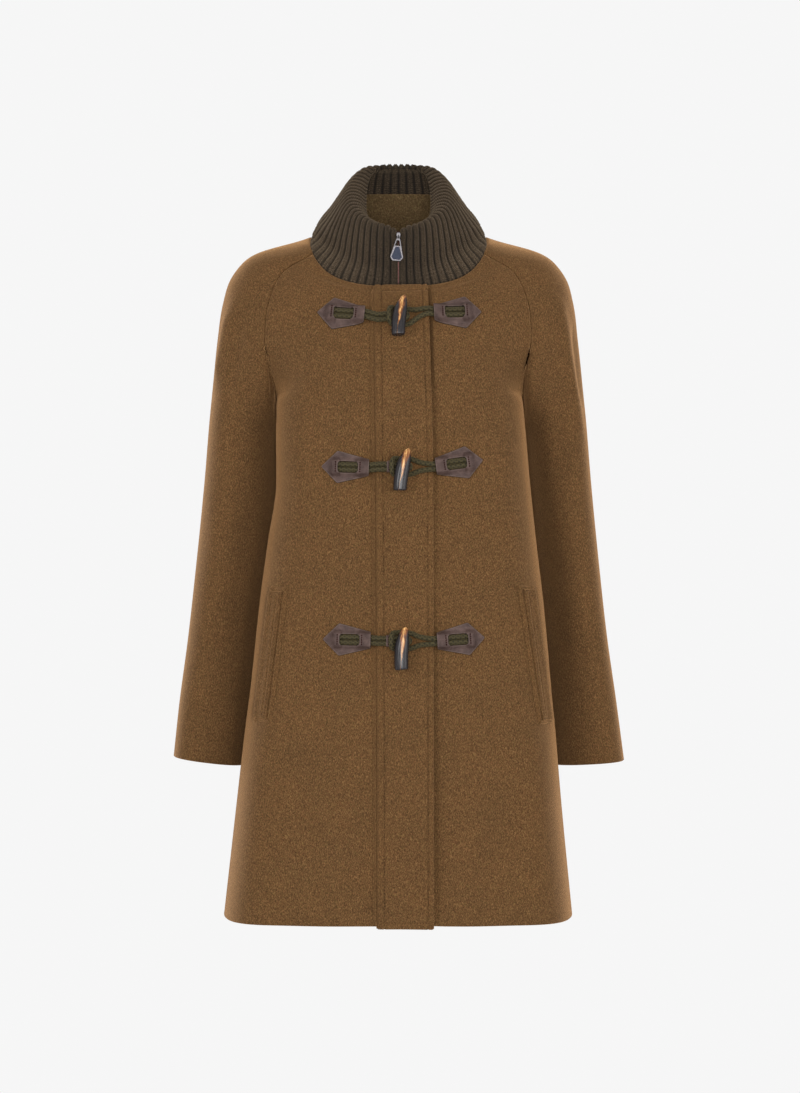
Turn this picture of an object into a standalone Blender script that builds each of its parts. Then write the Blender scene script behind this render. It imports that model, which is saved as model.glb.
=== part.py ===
"""A wool toggle coat with a rib-knit funnel collar, filled out as if worn.

Metres, +Z up. X runs to the wearer's left, the wearer faces -Y. The origin is the point midway
between the two sides of the neck, at the height where the coat rests on the shoulders.
"""
import math
from collections import namedtuple

import bpy
import bmesh
from mathutils import Vector

# ---------------------------------------------------------------- driving dimensions (metres)
CLOTH = 0.0025            # felted wool, one layer
KNIT = 0.0055             # rib knit of the collar, doubled
GAP = 0.0003              # left open between pieces that meet
SEAM_EASE = 0.0016        # more of the same where two walls turn over a rounded seam
LIE = 0.0006              # between a panel and what lies on it

HALF_SLIT = 0.0030        # from the centre line to each front edge, room for the zip teeth
PLACKET_THICK = 0.0034    # storm placket, two layers pressed
PLACKET_EASE = 0.0002
PLACKET_DROP = 0.0030     # how far the placket reaches below the hem
TAPE_WIDTH = 0.0100
TAPE_THICK = 0.0008
TAPE_EASE = 0.0010        # how much further back the tape lies behind the knit
TAPE_CURVE = 12.0         # per metre, how the tape follows the front of the neck
CHAIN_HALF = 0.0023
CHAIN_THICK = 0.0018

WELT_THICK = 0.0034
LEATHER = 0.0015
CORD_RADIUS = 0.0031
CORD_PITCH = 0.0064       # between the two strands of a doubled cord
PATCH_LENGTH = 0.0590
PATCH_SHOULDER = 0.0200   # from the point to the widest place
PATCH_HALF_WIDE = 0.0200
PATCH_HALF_END = 0.0102
WINDOW_START = 0.0212     # from the point
WINDOW_END = 0.0452
WINDOW_HALF = 0.0068

TOGGLE_LIFT = 0.0192      # middle of the toggle above the front
TOGGLE_HANG = 0.70        # share of the front's slope that a hanging toggle takes up
TOGGLE_BOW = 0.0022       # sideways bow of the horn
STEM_LIFT = 0.0112        # the toggle's own cord where it turns back inside the notch
STEM_REACH = 0.0085       # how far it comes out on the toggle's other side
STEM_EDGE_LIFT = 0.0100   # the same cord where the loop passes over it
CORD_LOW = 0.0038         # a cord in its patch's window, above the front
CORD_END_LIFT = 0.0070    # the same cord at the patch's inner end
CORD_OVER = 0.0080        # a cord on the placket, above the front

FACING_EASE = 0.0020      # how far the facing stands off where the knit is joined on

SIDES = {"right": -1.0, "left": 1.0}

# Each station is one level of the body, from the neck seam to the hem: the middle of the panel,
# its outer edge (raglan seam down to the armpit, then the side seam), the direction in which the
# panel's curve meets that edge, and how full the curve is at its middle and at its edge.
Station = namedtuple("Station", "mid_y mid_z right_x left_x edge_y edge_z turn rise near far")
FRONT = [
    Station(-0.0760, -0.0685, 0.1066, 0.1066, -0.060, -0.0260, 55, 1.30, 0.50, 0.38),
    Station(-0.0880, -0.0830, 0.1451, 0.1446, -0.066, -0.0500, 30, 0.15, 0.45, 0.36),
    Station(-0.0960, -0.0980, 0.1572, 0.1565, -0.074, -0.0732, 28, -0.05, 0.44, 0.33),
    Station(-0.1050, -0.1200, 0.1648, 0.1645, -0.081, -0.1060, 28, -0.12, 0.44, 0.31),
    Station(-0.1110, -0.1400, 0.1668, 0.1652, -0.081, -0.1347, 32, -0.12, 0.48, 0.33),
    Station(-0.1160, -0.1640, 0.1632, 0.1600, -0.071, -0.1630, 45, -0.10, 0.55, 0.42),
    Station(-0.1205, -0.1900, 0.1545, 0.1565, -0.045, -0.1940, 70, -0.05, 0.62, 0.56),
    Station(-0.1235, -0.2150, 0.1543, 0.1579, 0.000, -0.2150, 90, 0.00, 0.66, 0.62),
    Station(-0.1275, -0.3070, 0.1543, 0.1657, 0.000, -0.3070, 90, 0.00, 0.68, 0.63),
    Station(-0.1295, -0.3860, 0.1651, 0.1740, 0.000, -0.3860, 90, 0.00, 0.68, 0.62),
    Station(-0.1325, -0.4600, 0.1751, 0.1828, 0.000, -0.4600, 90, 0.00, 0.68, 0.61),
    Station(-0.1375, -0.5830, 0.1882, 0.1940, 0.000, -0.5830, 90, 0.00, 0.68, 0.60),
    Station(-0.1430, -0.7010, 0.2020, 0.2036, 0.000, -0.7010, 90, 0.00, 0.68, 0.59),
    Station(-0.1500, -0.8530, 0.2195, 0.2185, 0.000, -0.8530, 90, 0.00, 0.68, 0.58),
]
BACK = [
    Station(0.0700, 0.0120, 0.0980, 0.0980, 0.046, 0.0060, 60, -0.20, 0.50, 0.38),
    Station(0.0830, -0.0160, 0.1340, 0.1340, 0.064, -0.0200, 35, -0.15, 0.45, 0.36),
    Station(0.0930, -0.0450, 0.1500, 0.1500, 0.077, -0.0480, 30, -0.12, 0.44, 0.33),
    Station(0.1030, -0.0820, 0.1610, 0.1610, 0.088, -0.0850, 30, -0.10, 0.44, 0.31),
    Station(0.1100, -0.1170, 0.1655, 0.1650, 0.087, -0.1200, 33, -0.08, 0.48, 0.33),
    Station(0.1150, -0.1520, 0.1640, 0.1630, 0.075, -0.1550, 46, -0.05, 0.55, 0.42),
    Station(0.1180, -0.1860, 0.1560, 0.1580, 0.045, -0.1920, 70, 0.00, 0.62, 0.56),
    Station(0.1200, -0.2150, 0.1543, 0.1579, 0.000, -0.2150, 90, 0.00, 0.66, 0.62),
    Station(0.1230, -0.3070, 0.1543, 0.1657, 0.000, -0.3070, 90, 0.00, 0.68, 0.63),
    Station(0.1260, -0.3860, 0.1651, 0.1740, 0.000, -0.3860, 90, 0.00, 0.68, 0.62),
    Station(0.1300, -0.4600, 0.1751, 0.1828, 0.000, -0.4600, 90, 0.00, 0.68, 0.61),
    Station(0.1370, -0.5830, 0.1882, 0.1940, 0.000, -0.5830, 90, 0.00, 0.68, 0.60),
    Station(0.1430, -0.7010, 0.2020, 0.2036, 0.000, -0.7010, 90, 0.00, 0.68, 0.59),
    Station(0.1500, -0.8530, 0.2195, 0.2185, 0.000, -0.8530, 90, 0.00, 0.68, 0.58),
]
ARMPIT = 7                # the station where the raglan seams meet the side seam
SHOULDER_NECK = Vector((0.1110, -0.004, 0.0000))
SHOULDER_SLOPE = -0.42

# Each ring is one section of a sleeve: its outermost and innermost point seen from the front, and
# how far it stands out to the front and to the back of the line between them.
Ring = namedtuple("Ring", "outer_x outer_z inner_x inner_z front back")
SLEEVE = {
    "right": [
        Ring(0.1975, -0.0330, 0.1590, -0.2240, 0.0780, 0.0860),
        Ring(0.2128, -0.0537, 0.1592, -0.2290, 0.0770, 0.0840),
        Ring(0.2225, -0.0850, 0.1592, -0.2360, 0.0755, 0.0820),
        Ring(0.2292, -0.1300, 0.1590, -0.2440, 0.0740, 0.0800),
        Ring(0.2343, -0.1800, 0.1588, -0.2540, 0.0725, 0.0770),
        Ring(0.2394, -0.2315, 0.1585, -0.2680, 0.0710, 0.0740),
        Ring(0.2457, -0.3070, 0.1585, -0.3180, 0.0680, 0.0700),
        Ring(0.2559, -0.4080, 0.1720, -0.4140, 0.0640, 0.0660),
        Ring(0.2673, -0.5100, 0.1838, -0.5150, 0.0600, 0.0610),
        Ring(0.2775, -0.5865, 0.1915, -0.5940, 0.0570, 0.0570),
        Ring(0.2851, -0.6566, 0.2012, -0.6700, 0.0540, 0.0540),
    ],
    "left": [
        Ring(0.1975, -0.0330, 0.1590, -0.2240, 0.0780, 0.0860),
        Ring(0.2125, -0.0537, 0.1600, -0.2290, 0.0770, 0.0840),
        Ring(0.2215, -0.0850, 0.1615, -0.2360, 0.0755, 0.0820),
        Ring(0.2272, -0.1300, 0.1635, -0.2440, 0.0740, 0.0800),
        Ring(0.2325, -0.1800, 0.1660, -0.2540, 0.0725, 0.0770),
        Ring(0.2376, -0.2315, 0.1690, -0.2680, 0.0710, 0.0740),
        Ring(0.2438, -0.3070, 0.1745, -0.3180, 0.0680, 0.0700),
        Ring(0.2536, -0.4080, 0.1840, -0.4140, 0.0640, 0.0660),
        Ring(0.2650, -0.5100, 0.1935, -0.5150, 0.0600, 0.0610),
        Ring(0.2760, -0.5865, 0.1985, -0.5940, 0.0570, 0.0570),
        Ring(0.2860, -0.6616, 0.2040, -0.6700, 0.0540, 0.0540),
    ],
}
SEAM_SHARE = 0.40         # share of a sleeve's way round that lies on each raglan seam
FALL = [0.0, 0.0, 0.0, 0.05, 0.15, 0.45, 0.85, 1.0]   # how far the seam is a crease, by station

# Each level of the collar: half its width, and its front, side and back in y and z.
Level = namedtuple("Level", "half_width front_y front_z side_z back_y back_z")
COLLAR = [
    Level(0.1015, -0.0770, -0.0500, 0.0140, 0.0740, 0.0340),
    Level(0.0890, -0.0775, -0.0320, 0.0280, 0.0745, 0.0550),
    Level(0.0785, -0.0767, -0.0160, 0.0400, 0.0725, 0.0765),
    Level(0.0700, -0.0745, -0.0030, 0.0490, 0.0680, 0.0925),
    Level(0.0615, -0.0700, 0.0050, 0.0540, 0.0610, 0.1000),
    Level(0.0530, -0.0645, 0.0030, 0.0490, 0.0540, 0.0965),
]
COLLAR_ROUND, COLLAR_SQUARE = 0.80, 0.25   # plan of a level: rounder in front, squarer behind
NECK_FRONT_SHARE = 0.34   # share of the half neck that lies on the front, then on the sleeve
NECK_SLEEVE_SHARE = 0.31

# Each fastening: its toggle, the height where the cords cross it, and the point of the leather
# patch on the right and the left front, with the patch's fall towards the middle in degrees.
Fastening = namedtuple("Fastening", "toggle_x toggle_z tilt cross_z right_x right_z right_fall "
                       "left_x left_z left_fall")
FASTENINGS = [
    Fastening(0.0027, -0.1147, 8.3, -0.1122, -0.1007, -0.1035, 4.2, 0.1028, -0.1029, 2.2),
    Fastening(0.0061, -0.2987, 11.6, -0.2948, -0.0947, -0.2940, 1.7, 0.1037, -0.2862, 7.9),
    Fastening(0.0053, -0.5164, 5.3, -0.5072, -0.0927, -0.5051, 1.3, 0.1058, -0.5033, 4.0),
]

# Each row of the placket: its height, its sewn edge, its free edge and how far that edge lifts.
Strip = namedtuple("Strip", "z sewn_x free_x lift")
PLACKET = [
    Strip(-0.0705, -0.0308, 0.0353, 0.0010),
    Strip(-0.1600, -0.0296, 0.0380, 0.0006),
    Strip(-0.2900, -0.0282, 0.0412, 0.0008),
    Strip(-0.4400, -0.0272, 0.0416, 0.0012),
    Strip(-0.6000, -0.0266, 0.0418, 0.0018),
    Strip(-0.7400, -0.0262, 0.0419, 0.0028),
    Strip(-0.8530, -0.0261, 0.0419, 0.0040),
]

# The corners of each pocket welt on its front.
Welt = namedtuple("Welt", "top_in top_out top_z low_in low_out low_z")
WELTS = {
    "right": Welt(-0.1404, -0.1549, -0.4464, -0.1593, -0.1743, -0.6041),
    "left": Welt(0.1509, 0.1635, -0.4439, 0.1742, 0.1850, -0.6066),
}

# Sections of the horn toggle, from its point down to its flat end.
Section = namedtuple("Section", "up half_wide half_deep")
HORN = [
    Section(0.0262, 0.0008, 0.0008),
    Section(0.0250, 0.0022, 0.0020),
    Section(0.0230, 0.0036, 0.0031),
    Section(0.0190, 0.0053, 0.0045),
    Section(0.0130, 0.0070, 0.0058),
    Section(0.0060, 0.0082, 0.0067),
    Section(-0.0020, 0.0086, 0.0070),
    Section(-0.0120, 0.0086, 0.0069),
    Section(-0.0210, 0.0083, 0.0066),
    Section(-0.0252, 0.0079, 0.0062),
    Section(-0.0262, 0.0068, 0.0053),
]

# Zip slider and pull tab.
HINGE = Vector((0.0, -0.0792, -0.0072))
SLIDER_SIZE = Vector((0.0052, 0.0044, 0.0090))
ARCH_RADIUS = 0.0016
ARCH_WIRE = 0.0005
TAB_THICK = 0.0014
TAB_LEAN = 5.0            # degrees, the way the tab hangs off true
TAB_OUTLINE = [(0.0019, 0.0007), (0.0021, -0.0028), (0.0029, -0.0042), (0.0083, -0.0262),
               (0.0050, -0.0306)]
TAB_EYE = [(0.0011, -0.0007), (0.0011, -0.0029)]
TAB_WINDOW = [(0.0014, -0.0052), (0.0031, -0.0115)]


# ---------------------------------------------------------------- curves and surfaces
def mix(a, b, t):
    return a * (1.0 - t) + b * t


def ramp(a, b, value):
    """0 before a, 1 past b, and a soft change between, also where b is below a."""
    t = min(1.0, max(0.0, (value - a) / (b - a)))
    return t * t * (3.0 - 2.0 * t)


def through(points, s):
    """Place at station s on a smooth curve through evenly numbered points."""
    last = len(points) - 1
    i = min(last - 1, max(0, int(s)))
    t = s - i
    before = points[i - 1] if i > 0 else points[i] * 2.0 - points[i + 1]
    after = points[i + 2] if i + 2 <= last else points[i + 1] * 2.0 - points[i]
    slope_a = (points[i + 1] - before) * 0.5
    slope_b = (after - points[i]) * 0.5
    return hermite(points[i], slope_a, points[i + 1], slope_b, t)


def hermite(a, slope_a, b, slope_b, t):
    t2 = t * t
    t3 = t2 * t
    return (a * (2 * t3 - 3 * t2 + 1) + slope_a * (t3 - 2 * t2 + t)
            + b * (3 * t2 - 2 * t3) + slope_b * (t3 - t2))


def bezier(a, b, c, d, t):
    u = 1.0 - t
    return a * (u * u * u) + b * (3 * u * u * t) + c * (3 * u * t * t) + d * (t * t * t)


def column(table, name, s):
    """Value of a table's column at station s, smooth and never beyond its two neighbours."""
    values = [getattr(row, name) for row in table]
    last = len(values) - 1
    i = min(last - 1, max(0, int(s)))
    rises = [values[j + 1] - values[j] for j in range(last)]
    slopes = []
    for j in (i, i + 1):
        before, after = rises[max(0, j - 1)], rises[min(last - 1, j)]
        slopes.append(0.0 if before * after <= 0.0 else 2.0 * before * after / (before + after))
    return hermite(values[i], slopes[0], values[i + 1], slopes[1], s - i)


def edge_direction(table, side, s):
    """The way a panel's curve runs where it meets its outer edge."""
    back = 1.0 if table is FRONT else -1.0
    turn = math.radians(column(table, "turn", s))
    across = SIDES[side] * math.cos(turn)
    return Vector((across, back * math.sin(turn), column(table, "rise", s))).normalized()


def edge_point(table, side, s):
    x = SIDES[side] * column(table, side + "_x", s)
    return Vector((x, column(table, "edge_y", s), column(table, "edge_z", s)))


def panel_point(table, side, u, s):
    """Outer face of a front or the back: u from the middle (0) to the outer edge (1)."""
    middle = Vector((0.0, column(table, "mid_y", s), column(table, "mid_z", s)))
    edge = edge_point(table, side, s)
    chord = (edge - middle).length
    out = Vector((SIDES[side] * chord * column(table, "near", s), 0.0, 0.0))
    arrive = edge_direction(table, side, s) * chord * column(table, "far", s)
    return bezier(middle, middle + out, edge - arrive, edge, u)


def front_place(x, z):
    """Point and outward normal of the front at a given x and z."""
    side = "left" if x >= 0.0 else "right"
    u, s = 0.4, 7.0
    small = 1e-4
    for _ in range(40):
        here = panel_point(FRONT, side, u, s)
        du = (panel_point(FRONT, side, u + small, s) - here) / small
        ds = (panel_point(FRONT, side, u, s + small) - here) / small
        miss_x, miss_z = x - here.x, z - here.z
        det = du.x * ds.z - ds.x * du.z
        u += max(-0.2, min(0.2, (miss_x * ds.z - ds.x * miss_z) / det))
        s += max(-1.5, min(1.5, (du.x * miss_z - miss_x * du.z) / det))
        u = max(0.0, min(1.0, u))
        s = max(0.0, min(len(FRONT) - 1.001, s))
    normal = du.cross(ds).normalized()
    return here, (normal if normal.y < 0.0 else -normal)


def on_front(x, z, lift):
    """A place over the front, as if the front went on past its neck seam and its hem."""
    top, bottom = FRONT[0].mid_z, FRONT[-1].mid_z
    inside_z = min(top, max(bottom, z))
    point, normal = front_place(x, inside_z)
    return point + Vector((0.0, 0.0, z - inside_z)) + normal * lift


def seam_run(table, side):
    """Stations along a raglan seam from the armpit to the neck, with the length to each."""
    count = 70
    stations = [ARMPIT * (1.0 - i / count) for i in range(count + 1)]
    lengths = [0.0]
    for a, b in zip(stations, stations[1:]):
        lengths.append(lengths[-1] + (edge_point(table, side, b) - edge_point(table, side, a)).length)
    return stations, lengths


def seam_length(table, side, s):
    """Share of a raglan seam's length between the armpit and station s."""
    stations, lengths = seam_run(table, side)
    at = (ARMPIT - s) / ARMPIT * (len(stations) - 1)
    i = min(len(stations) - 2, int(at))
    return mix(lengths[i], lengths[i + 1], at - i) / lengths[-1]


def seam_point(table, side, share):
    """Raglan seam at a share of its length, 0 at the armpit and 1 at the neck, with its station."""
    stations, lengths = seam_run(table, side)
    target = share * lengths[-1]
    i = 0
    while i < len(lengths) - 2 and lengths[i + 1] < target:
        i += 1
    s = mix(stations[i], stations[i + 1], (target - lengths[i]) / (lengths[i + 1] - lengths[i]))
    return edge_point(table, side, s), s


def neck_bridge(side, t):
    """Neck seam over the shoulder, from the front raglan seam (0) to the back one (1)."""
    start, end = edge_point(FRONT, side, 0.0), edge_point(BACK, side, 0.0)
    top = Vector((SIDES[side] * SHOULDER_NECK.x, SHOULDER_NECK.y, SHOULDER_NECK.z))
    leave = edge_direction(FRONT, side, 0.0) * (top - start).length
    arrive = edge_direction(BACK, side, 0.0) * -1.0 * (end - top).length
    along = (end - start) * 0.5
    if t < 0.5:
        return hermite(start, leave, top, along, t * 2.0)
    return hermite(top, along, end, arrive, t * 2.0 - 1.0)


def armhole(side, a):
    """Sleeve head at share a round the sleeve: place, way across the seam, crease."""
    small = 1e-3
    if a <= SEAM_SHARE or a >= 1.0 - SEAM_SHARE:
        table = FRONT if a <= SEAM_SHARE else BACK
        share = a / SEAM_SHARE if a <= SEAM_SHARE else (1.0 - a) / SEAM_SHARE
        place, s = seam_point(table, side, share)
        across = edge_direction(table, side, s)
        along = edge_point(table, side, max(0.0, s - small)) - edge_point(table, side, s + small)
        return place, across, along.normalized(), through(FALL, min(s, ARMPIT))
    t = (a - SEAM_SHARE) / (1.0 - 2.0 * SEAM_SHARE)
    along = (neck_bridge(side, min(1.0, t + small)) - neck_bridge(side, max(0.0, t - small)))
    down_slope = Vector((SIDES[side], 0.0, SHOULDER_SLOPE))
    blend = 1.0 - abs(2.0 * t - 1.0)
    table = FRONT if t < 0.5 else BACK
    seam_way = edge_point(table, side, small * 10) - edge_point(table, side, 0.0)
    across = mix(seam_way.normalized(), down_slope.normalized(), ramp(0.0, 0.7, blend))
    return neck_bridge(side, t), across.normalized(), along.normalized(), 0.0


def ring_point(side, row, a):
    """Point of a sleeve section at share a: 0 inside, 0.25 front, 0.5 outside, 0.75 back."""
    angle = 2.0 * math.pi * a
    outer = Vector((SIDES[side] * row.outer_x, 0.0, row.outer_z))
    inner = Vector((SIDES[side] * row.inner_x, 0.0, row.inner_z))
    swell = math.sin(angle)
    depth = -row.front * swell if swell > 0.0 else -row.back * swell
    return (outer + inner) * 0.5 - (outer - inner) * 0.5 * math.cos(angle) + Vector((0, depth, 0))


def sleeve_line(side, a):
    """The points of one lengthwise line of a sleeve and its slopes there."""
    head, across, along, crease = armhole(side, a)
    points = [head] + [ring_point(side, row, a) for row in SLEEVE[side]]
    gaps = [max(1e-4, (points[i + 1] - points[i]).length) for i in range(len(points) - 1)]
    toward = points[1] - points[0]
    normal = across.cross(along).normalized()
    toward = toward - normal * toward.dot(normal) * (1.0 - crease)
    slopes = [toward.normalized()]
    for i in range(1, len(points) - 1):
        before = (points[i] - points[i - 1]) / gaps[i - 1]
        after = (points[i + 1] - points[i]) / gaps[i]
        weight = gaps[i - 1] / (gaps[i - 1] + gaps[i])
        slopes.append(mix(before, after, weight))
    slopes.append((points[-1] - points[-2]) / gaps[-1])
    return points, slopes, gaps


def on_line(line, t):
    points, slopes, gaps = line
    i = min(len(gaps) - 1, int(t))
    return hermite(points[i], slopes[i] * gaps[i], points[i + 1], slopes[i + 1] * gaps[i], t - i)


def neck_point(side, w):
    """Neck seam, w from the centre front (0) to the centre back (1)."""
    if w <= NECK_FRONT_SHARE:
        return panel_point(FRONT, side, w / NECK_FRONT_SHARE, 0.0)
    w -= NECK_FRONT_SHARE
    if w <= NECK_SLEEVE_SHARE:
        return neck_bridge(side, w / NECK_SLEEVE_SHARE)
    back_share = 1.0 - NECK_FRONT_SHARE - NECK_SLEEVE_SHARE
    return panel_point(BACK, side, 1.0 - (w - NECK_SLEEVE_SHARE) / back_share, 0.0)


def collar_point(side, w, k):
    """Outer face of the collar: k from the neck seam (0) to the turned top edge (1)."""
    angle = math.pi * w
    power = COLLAR_ROUND + COLLAR_SQUARE * math.cos(angle)
    ahead = math.copysign(abs(math.cos(angle)) ** power, math.cos(angle))
    aside = SIDES[side] * max(0.0, math.sin(angle)) ** power
    points = [neck_point(side, w)]
    for row in COLLAR:
        mean = (row.front_z + row.back_z) * 0.5
        z = ((mean + row.side_z) * 0.5 + (row.front_z - row.back_z) * 0.5 * ahead
             + (mean - row.side_z) * 0.5 * (2.0 * ahead * ahead - 1.0))
        y = (row.front_y + row.back_y) * 0.5 + (row.front_y - row.back_y) * 0.5 * ahead
        points.append(Vector((row.half_width * aside, y, z)))
    return through(points, k * (len(points) - 1))


# ---------------------------------------------------------------- meshes and objects
def clear_scene():
    for thing in list(bpy.data.objects):
        bpy.data.objects.remove(thing, do_unlink=True)


def make_material(name, colour, roughness, metallic=0.0):
    material = bpy.data.materials.new(name)
    material.use_nodes = True
    shader = material.node_tree.nodes["Principled BSDF"]
    shader.inputs["Base Color"].default_value = (*colour, 1.0)
    shader.inputs["Roughness"].default_value = roughness
    shader.inputs["Metallic"].default_value = metallic
    return material


def add_object(name, mesh, material, collection):
    mesh.materials.append(material)
    thing = bpy.data.objects.new(name, mesh)
    collection.objects.link(thing)
    return thing


def mesh_from(name, bm):
    bmesh.ops.recalc_face_normals(bm, faces=bm.faces)
    mesh = bpy.data.meshes.new(name)
    bm.to_mesh(mesh)
    bm.free()
    mesh.shade_smooth()
    mesh.set_sharp_from_angle(angle=math.radians(40))
    return mesh


def grid_faces(bm, rows, closed=False):
    """Quads between rows of points, each row joined to the next."""
    verts = [[bm.verts.new(point) for point in row] for row in rows]
    count = len(rows[0])
    for upper, lower in zip(verts, verts[1:]):
        for j in range(count if closed else count - 1):
            k = (j + 1) % count
            bm.faces.new((upper[j], upper[k], lower[k], lower[j]))
    return verts


def wall(name, rows, axis, closed=False):
    """Mesh of an open surface whose faces look away from the point `axis`."""
    bm = bmesh.new()
    grid_faces(bm, rows, closed)
    bm.normal_update()
    outward = sum(face.normal.dot(face.calc_center_median() - axis) for face in bm.faces)
    if outward < 0.0:
        bmesh.ops.reverse_faces(bm, faces=bm.faces)
    mesh = bpy.data.meshes.new(name)
    bm.to_mesh(mesh)
    bm.free()
    mesh.shade_smooth()
    return mesh


def give_thickness(thing, thickness):
    solidify = thing.modifiers.new("thickness", "SOLIDIFY")
    solidify.thickness = thickness
    solidify.offset = -1.0
    solidify.use_rim = True


def slab(name, rows_outer, rows_inner):
    """Closed mesh between an outer and an inner grid of the same size."""
    bm = bmesh.new()
    outer = grid_faces(bm, rows_outer)
    inner = grid_faces(bm, rows_inner)
    def border(verts):
        first, last = verts[0], verts[-1]
        right = [row[-1] for row in verts[1:-1]]
        left = [row[0] for row in verts[1:-1]]
        return first + right + last[::-1] + left[::-1]
    a, b = border(outer), border(inner)
    for i in range(len(a)):
        j = (i + 1) % len(a)
        bm.faces.new((a[i], a[j], b[j], b[i]))
    return mesh_from(name, bm)


def steps(start, end, count):
    return [start + (end - start) * i / count for i in range(count + 1)]


def shell(name, rows, thickness, axis, material, collection, closed=False):
    """A cloth wall: an open surface through rows of points, given its thickness inwards."""
    mesh = wall(name, rows, axis, closed)
    thing = add_object(name, mesh, material, collection)
    give_thickness(thing, thickness)
    return thing


# ---------------------------------------------------------------- the coat's panels
PANEL_STATIONS = [0.03, 0.5, 1.0, 1.5, 2, 3, 4, 5, 5.5, 6, 6.5, 7, 7.5, 8, 9, 10, 11, 12, 13]
BODY_AXIS = Vector((0.0, 0.0, -0.45))


def shares(count, short):
    """Even shares from 0 to 1, the last one a little short of the edge."""
    return steps(0.0, 1.0, count)[:-1] + [1.0 - short]


def seam_allowance(table, side, s):
    """The share of a panel's curve that is left free at its outer edge, for the seam's gap."""
    middle = Vector((0.0, column(table, "mid_y", s), column(table, "mid_z", s)))
    chord = (edge_point(table, side, s) - middle).length
    free = GAP * (0.6 + ramp(2.0, 0.0, abs(s - ARMPIT)))
    return free / (3.0 * column(table, "far", s) * chord)


def build_front(side, material, collection):
    rows = []
    for s in PANEL_STATIONS:
        row = [panel_point(FRONT, side, u, s) for u in shares(9, seam_allowance(FRONT, side, s))]
        row[0].x = SIDES[side] * HALF_SLIT
        rows.append(row)
    axis = Vector((SIDES[side] * 0.05, 0.0, -0.45))
    return shell("front_" + side, rows, CLOTH, axis, material, collection)


def build_back(material, collection):
    rows = []
    for s in PANEL_STATIONS:
        right, left = (shares(9, seam_allowance(BACK, side, s)) for side in SIDES)
        row = [panel_point(BACK, "right", u, s) for u in reversed(right)]
        row += [panel_point(BACK, "left", u, s) for u in left[1:]]
        rows.append(row)
    return shell("back", rows, CLOTH, BODY_AXIS, material, collection)


def head_shares(side):
    """Shares round a sleeve's head that fall on the panels' own rows, then over the neck."""
    seam = [s for s in PANEL_STATIONS if s <= ARMPIT]
    front = [SEAM_SHARE * seam_length(FRONT, side, s) for s in reversed(seam)]
    bridge = [mix(SEAM_SHARE, 1.0 - SEAM_SHARE, t) for t in steps(0.0, 1.0, 5)[1:-1]]
    back = [1.0 - SEAM_SHARE * seam_length(BACK, side, s) for s in seam[:-1]]
    return front + bridge + back


def build_sleeve(side, material, collection):
    around = head_shares(side)
    lines = [sleeve_line(side, a) for a in around]
    places = [0.0, 0.2, 0.4, 0.6, 0.8, 1, 1.5, 2, 3, 4, 5, 6, 7, 8, 9, 10, 11]
    rows = []
    for t in places:
        row = []
        for a, line in zip(around, lines):
            _, across, _, crease = armhole(side, a)
            free = GAP * 0.6 + SEAM_EASE * ramp(0.9, 0.3, crease)
            away = max(0.35, line[1][0].dot(across))
            start = free / (line[2][0] * away) if t == 0.0 else 0.0
            row.append(on_line(line, t + start))
        rows.append(row)
    axis = Vector((SIDES[side] * 0.2, 0.0, -0.3))
    return shell("sleeve_" + side, rows, CLOTH, axis, material, collection, closed=True)


def collar_row(k, count):
    slit = HALF_SLIT + 0.0012 * ramp(0.7, 0.95, k)
    half = {}
    for side in SIDES:
        half[side] = [collar_point(side, w, k) for w in steps(0.0, 1.0, count)]
        half[side][0].x = SIDES[side] * slit
    return half["right"] + half["left"][-2::-1]


def build_collar(material, collection):
    levels = [0.012] + steps(0.0, 1.0, 9)[1:]
    rows = [collar_row(k, 20) for k in levels]
    axis = Vector((0.0, 0.0, 0.02))
    return shell("rib_collar", rows, KNIT, axis, material, collection)


def surface_normal(place, a, b, away_from):
    """Unit normal of the surface place(a, b), pointing away from a given point."""
    small = 1e-3
    here = place(a, b)
    across = place(a + small, b) - place(a - small, b)
    along = place(a, b + small) - place(a, b - small)
    normal = across.cross(along).normalized()
    return normal if normal.dot(here - away_from) > 0.0 else -normal


def build_neck_facing(material, collection):
    rows = []
    neck_axis = Vector((0.0, 0.0, 0.0))
    back_share = 1.0 - NECK_FRONT_SHARE - NECK_SLEEVE_SHARE
    turns = steps(0.67, 0.995, 7)
    for k in (0.40, 0.27, 0.14, 0.03):
        row = []
        for side, ways in (("right", turns), ("left", turns[::-1])):
            for w in ways:
                place = lambda a, b, side=side: collar_point(side, a, b)
                normal = surface_normal(place, w, k, neck_axis)
                deep = KNIT + 3.0 * LIE + FACING_EASE * ramp(0.3, 0.1, k)
                row.append(collar_point(side, w, k) - normal * deep)
        rows.append(row)
    for s in (0.6, 1.1, 1.7, 2.4):
        row = []
        for side, ways in (("right", turns), ("left", turns[::-1])):
            for w in ways:
                u = (1.0 - w) / back_share
                place = lambda a, b, side=side: panel_point(BACK, side, a, b)
                normal = surface_normal(place, u, s, Vector((0.0, 0.0, -0.1)))
                deep = mix(KNIT + FACING_EASE, CLOTH, ramp(0.3, 2.0, s)) + 3.0 * LIE
                row.append(panel_point(BACK, side, u, s) - normal * deep)
        rows.append(row)
    return shell("neck_facing", rows, CLOTH * 0.8, neck_axis, material, collection)


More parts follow.
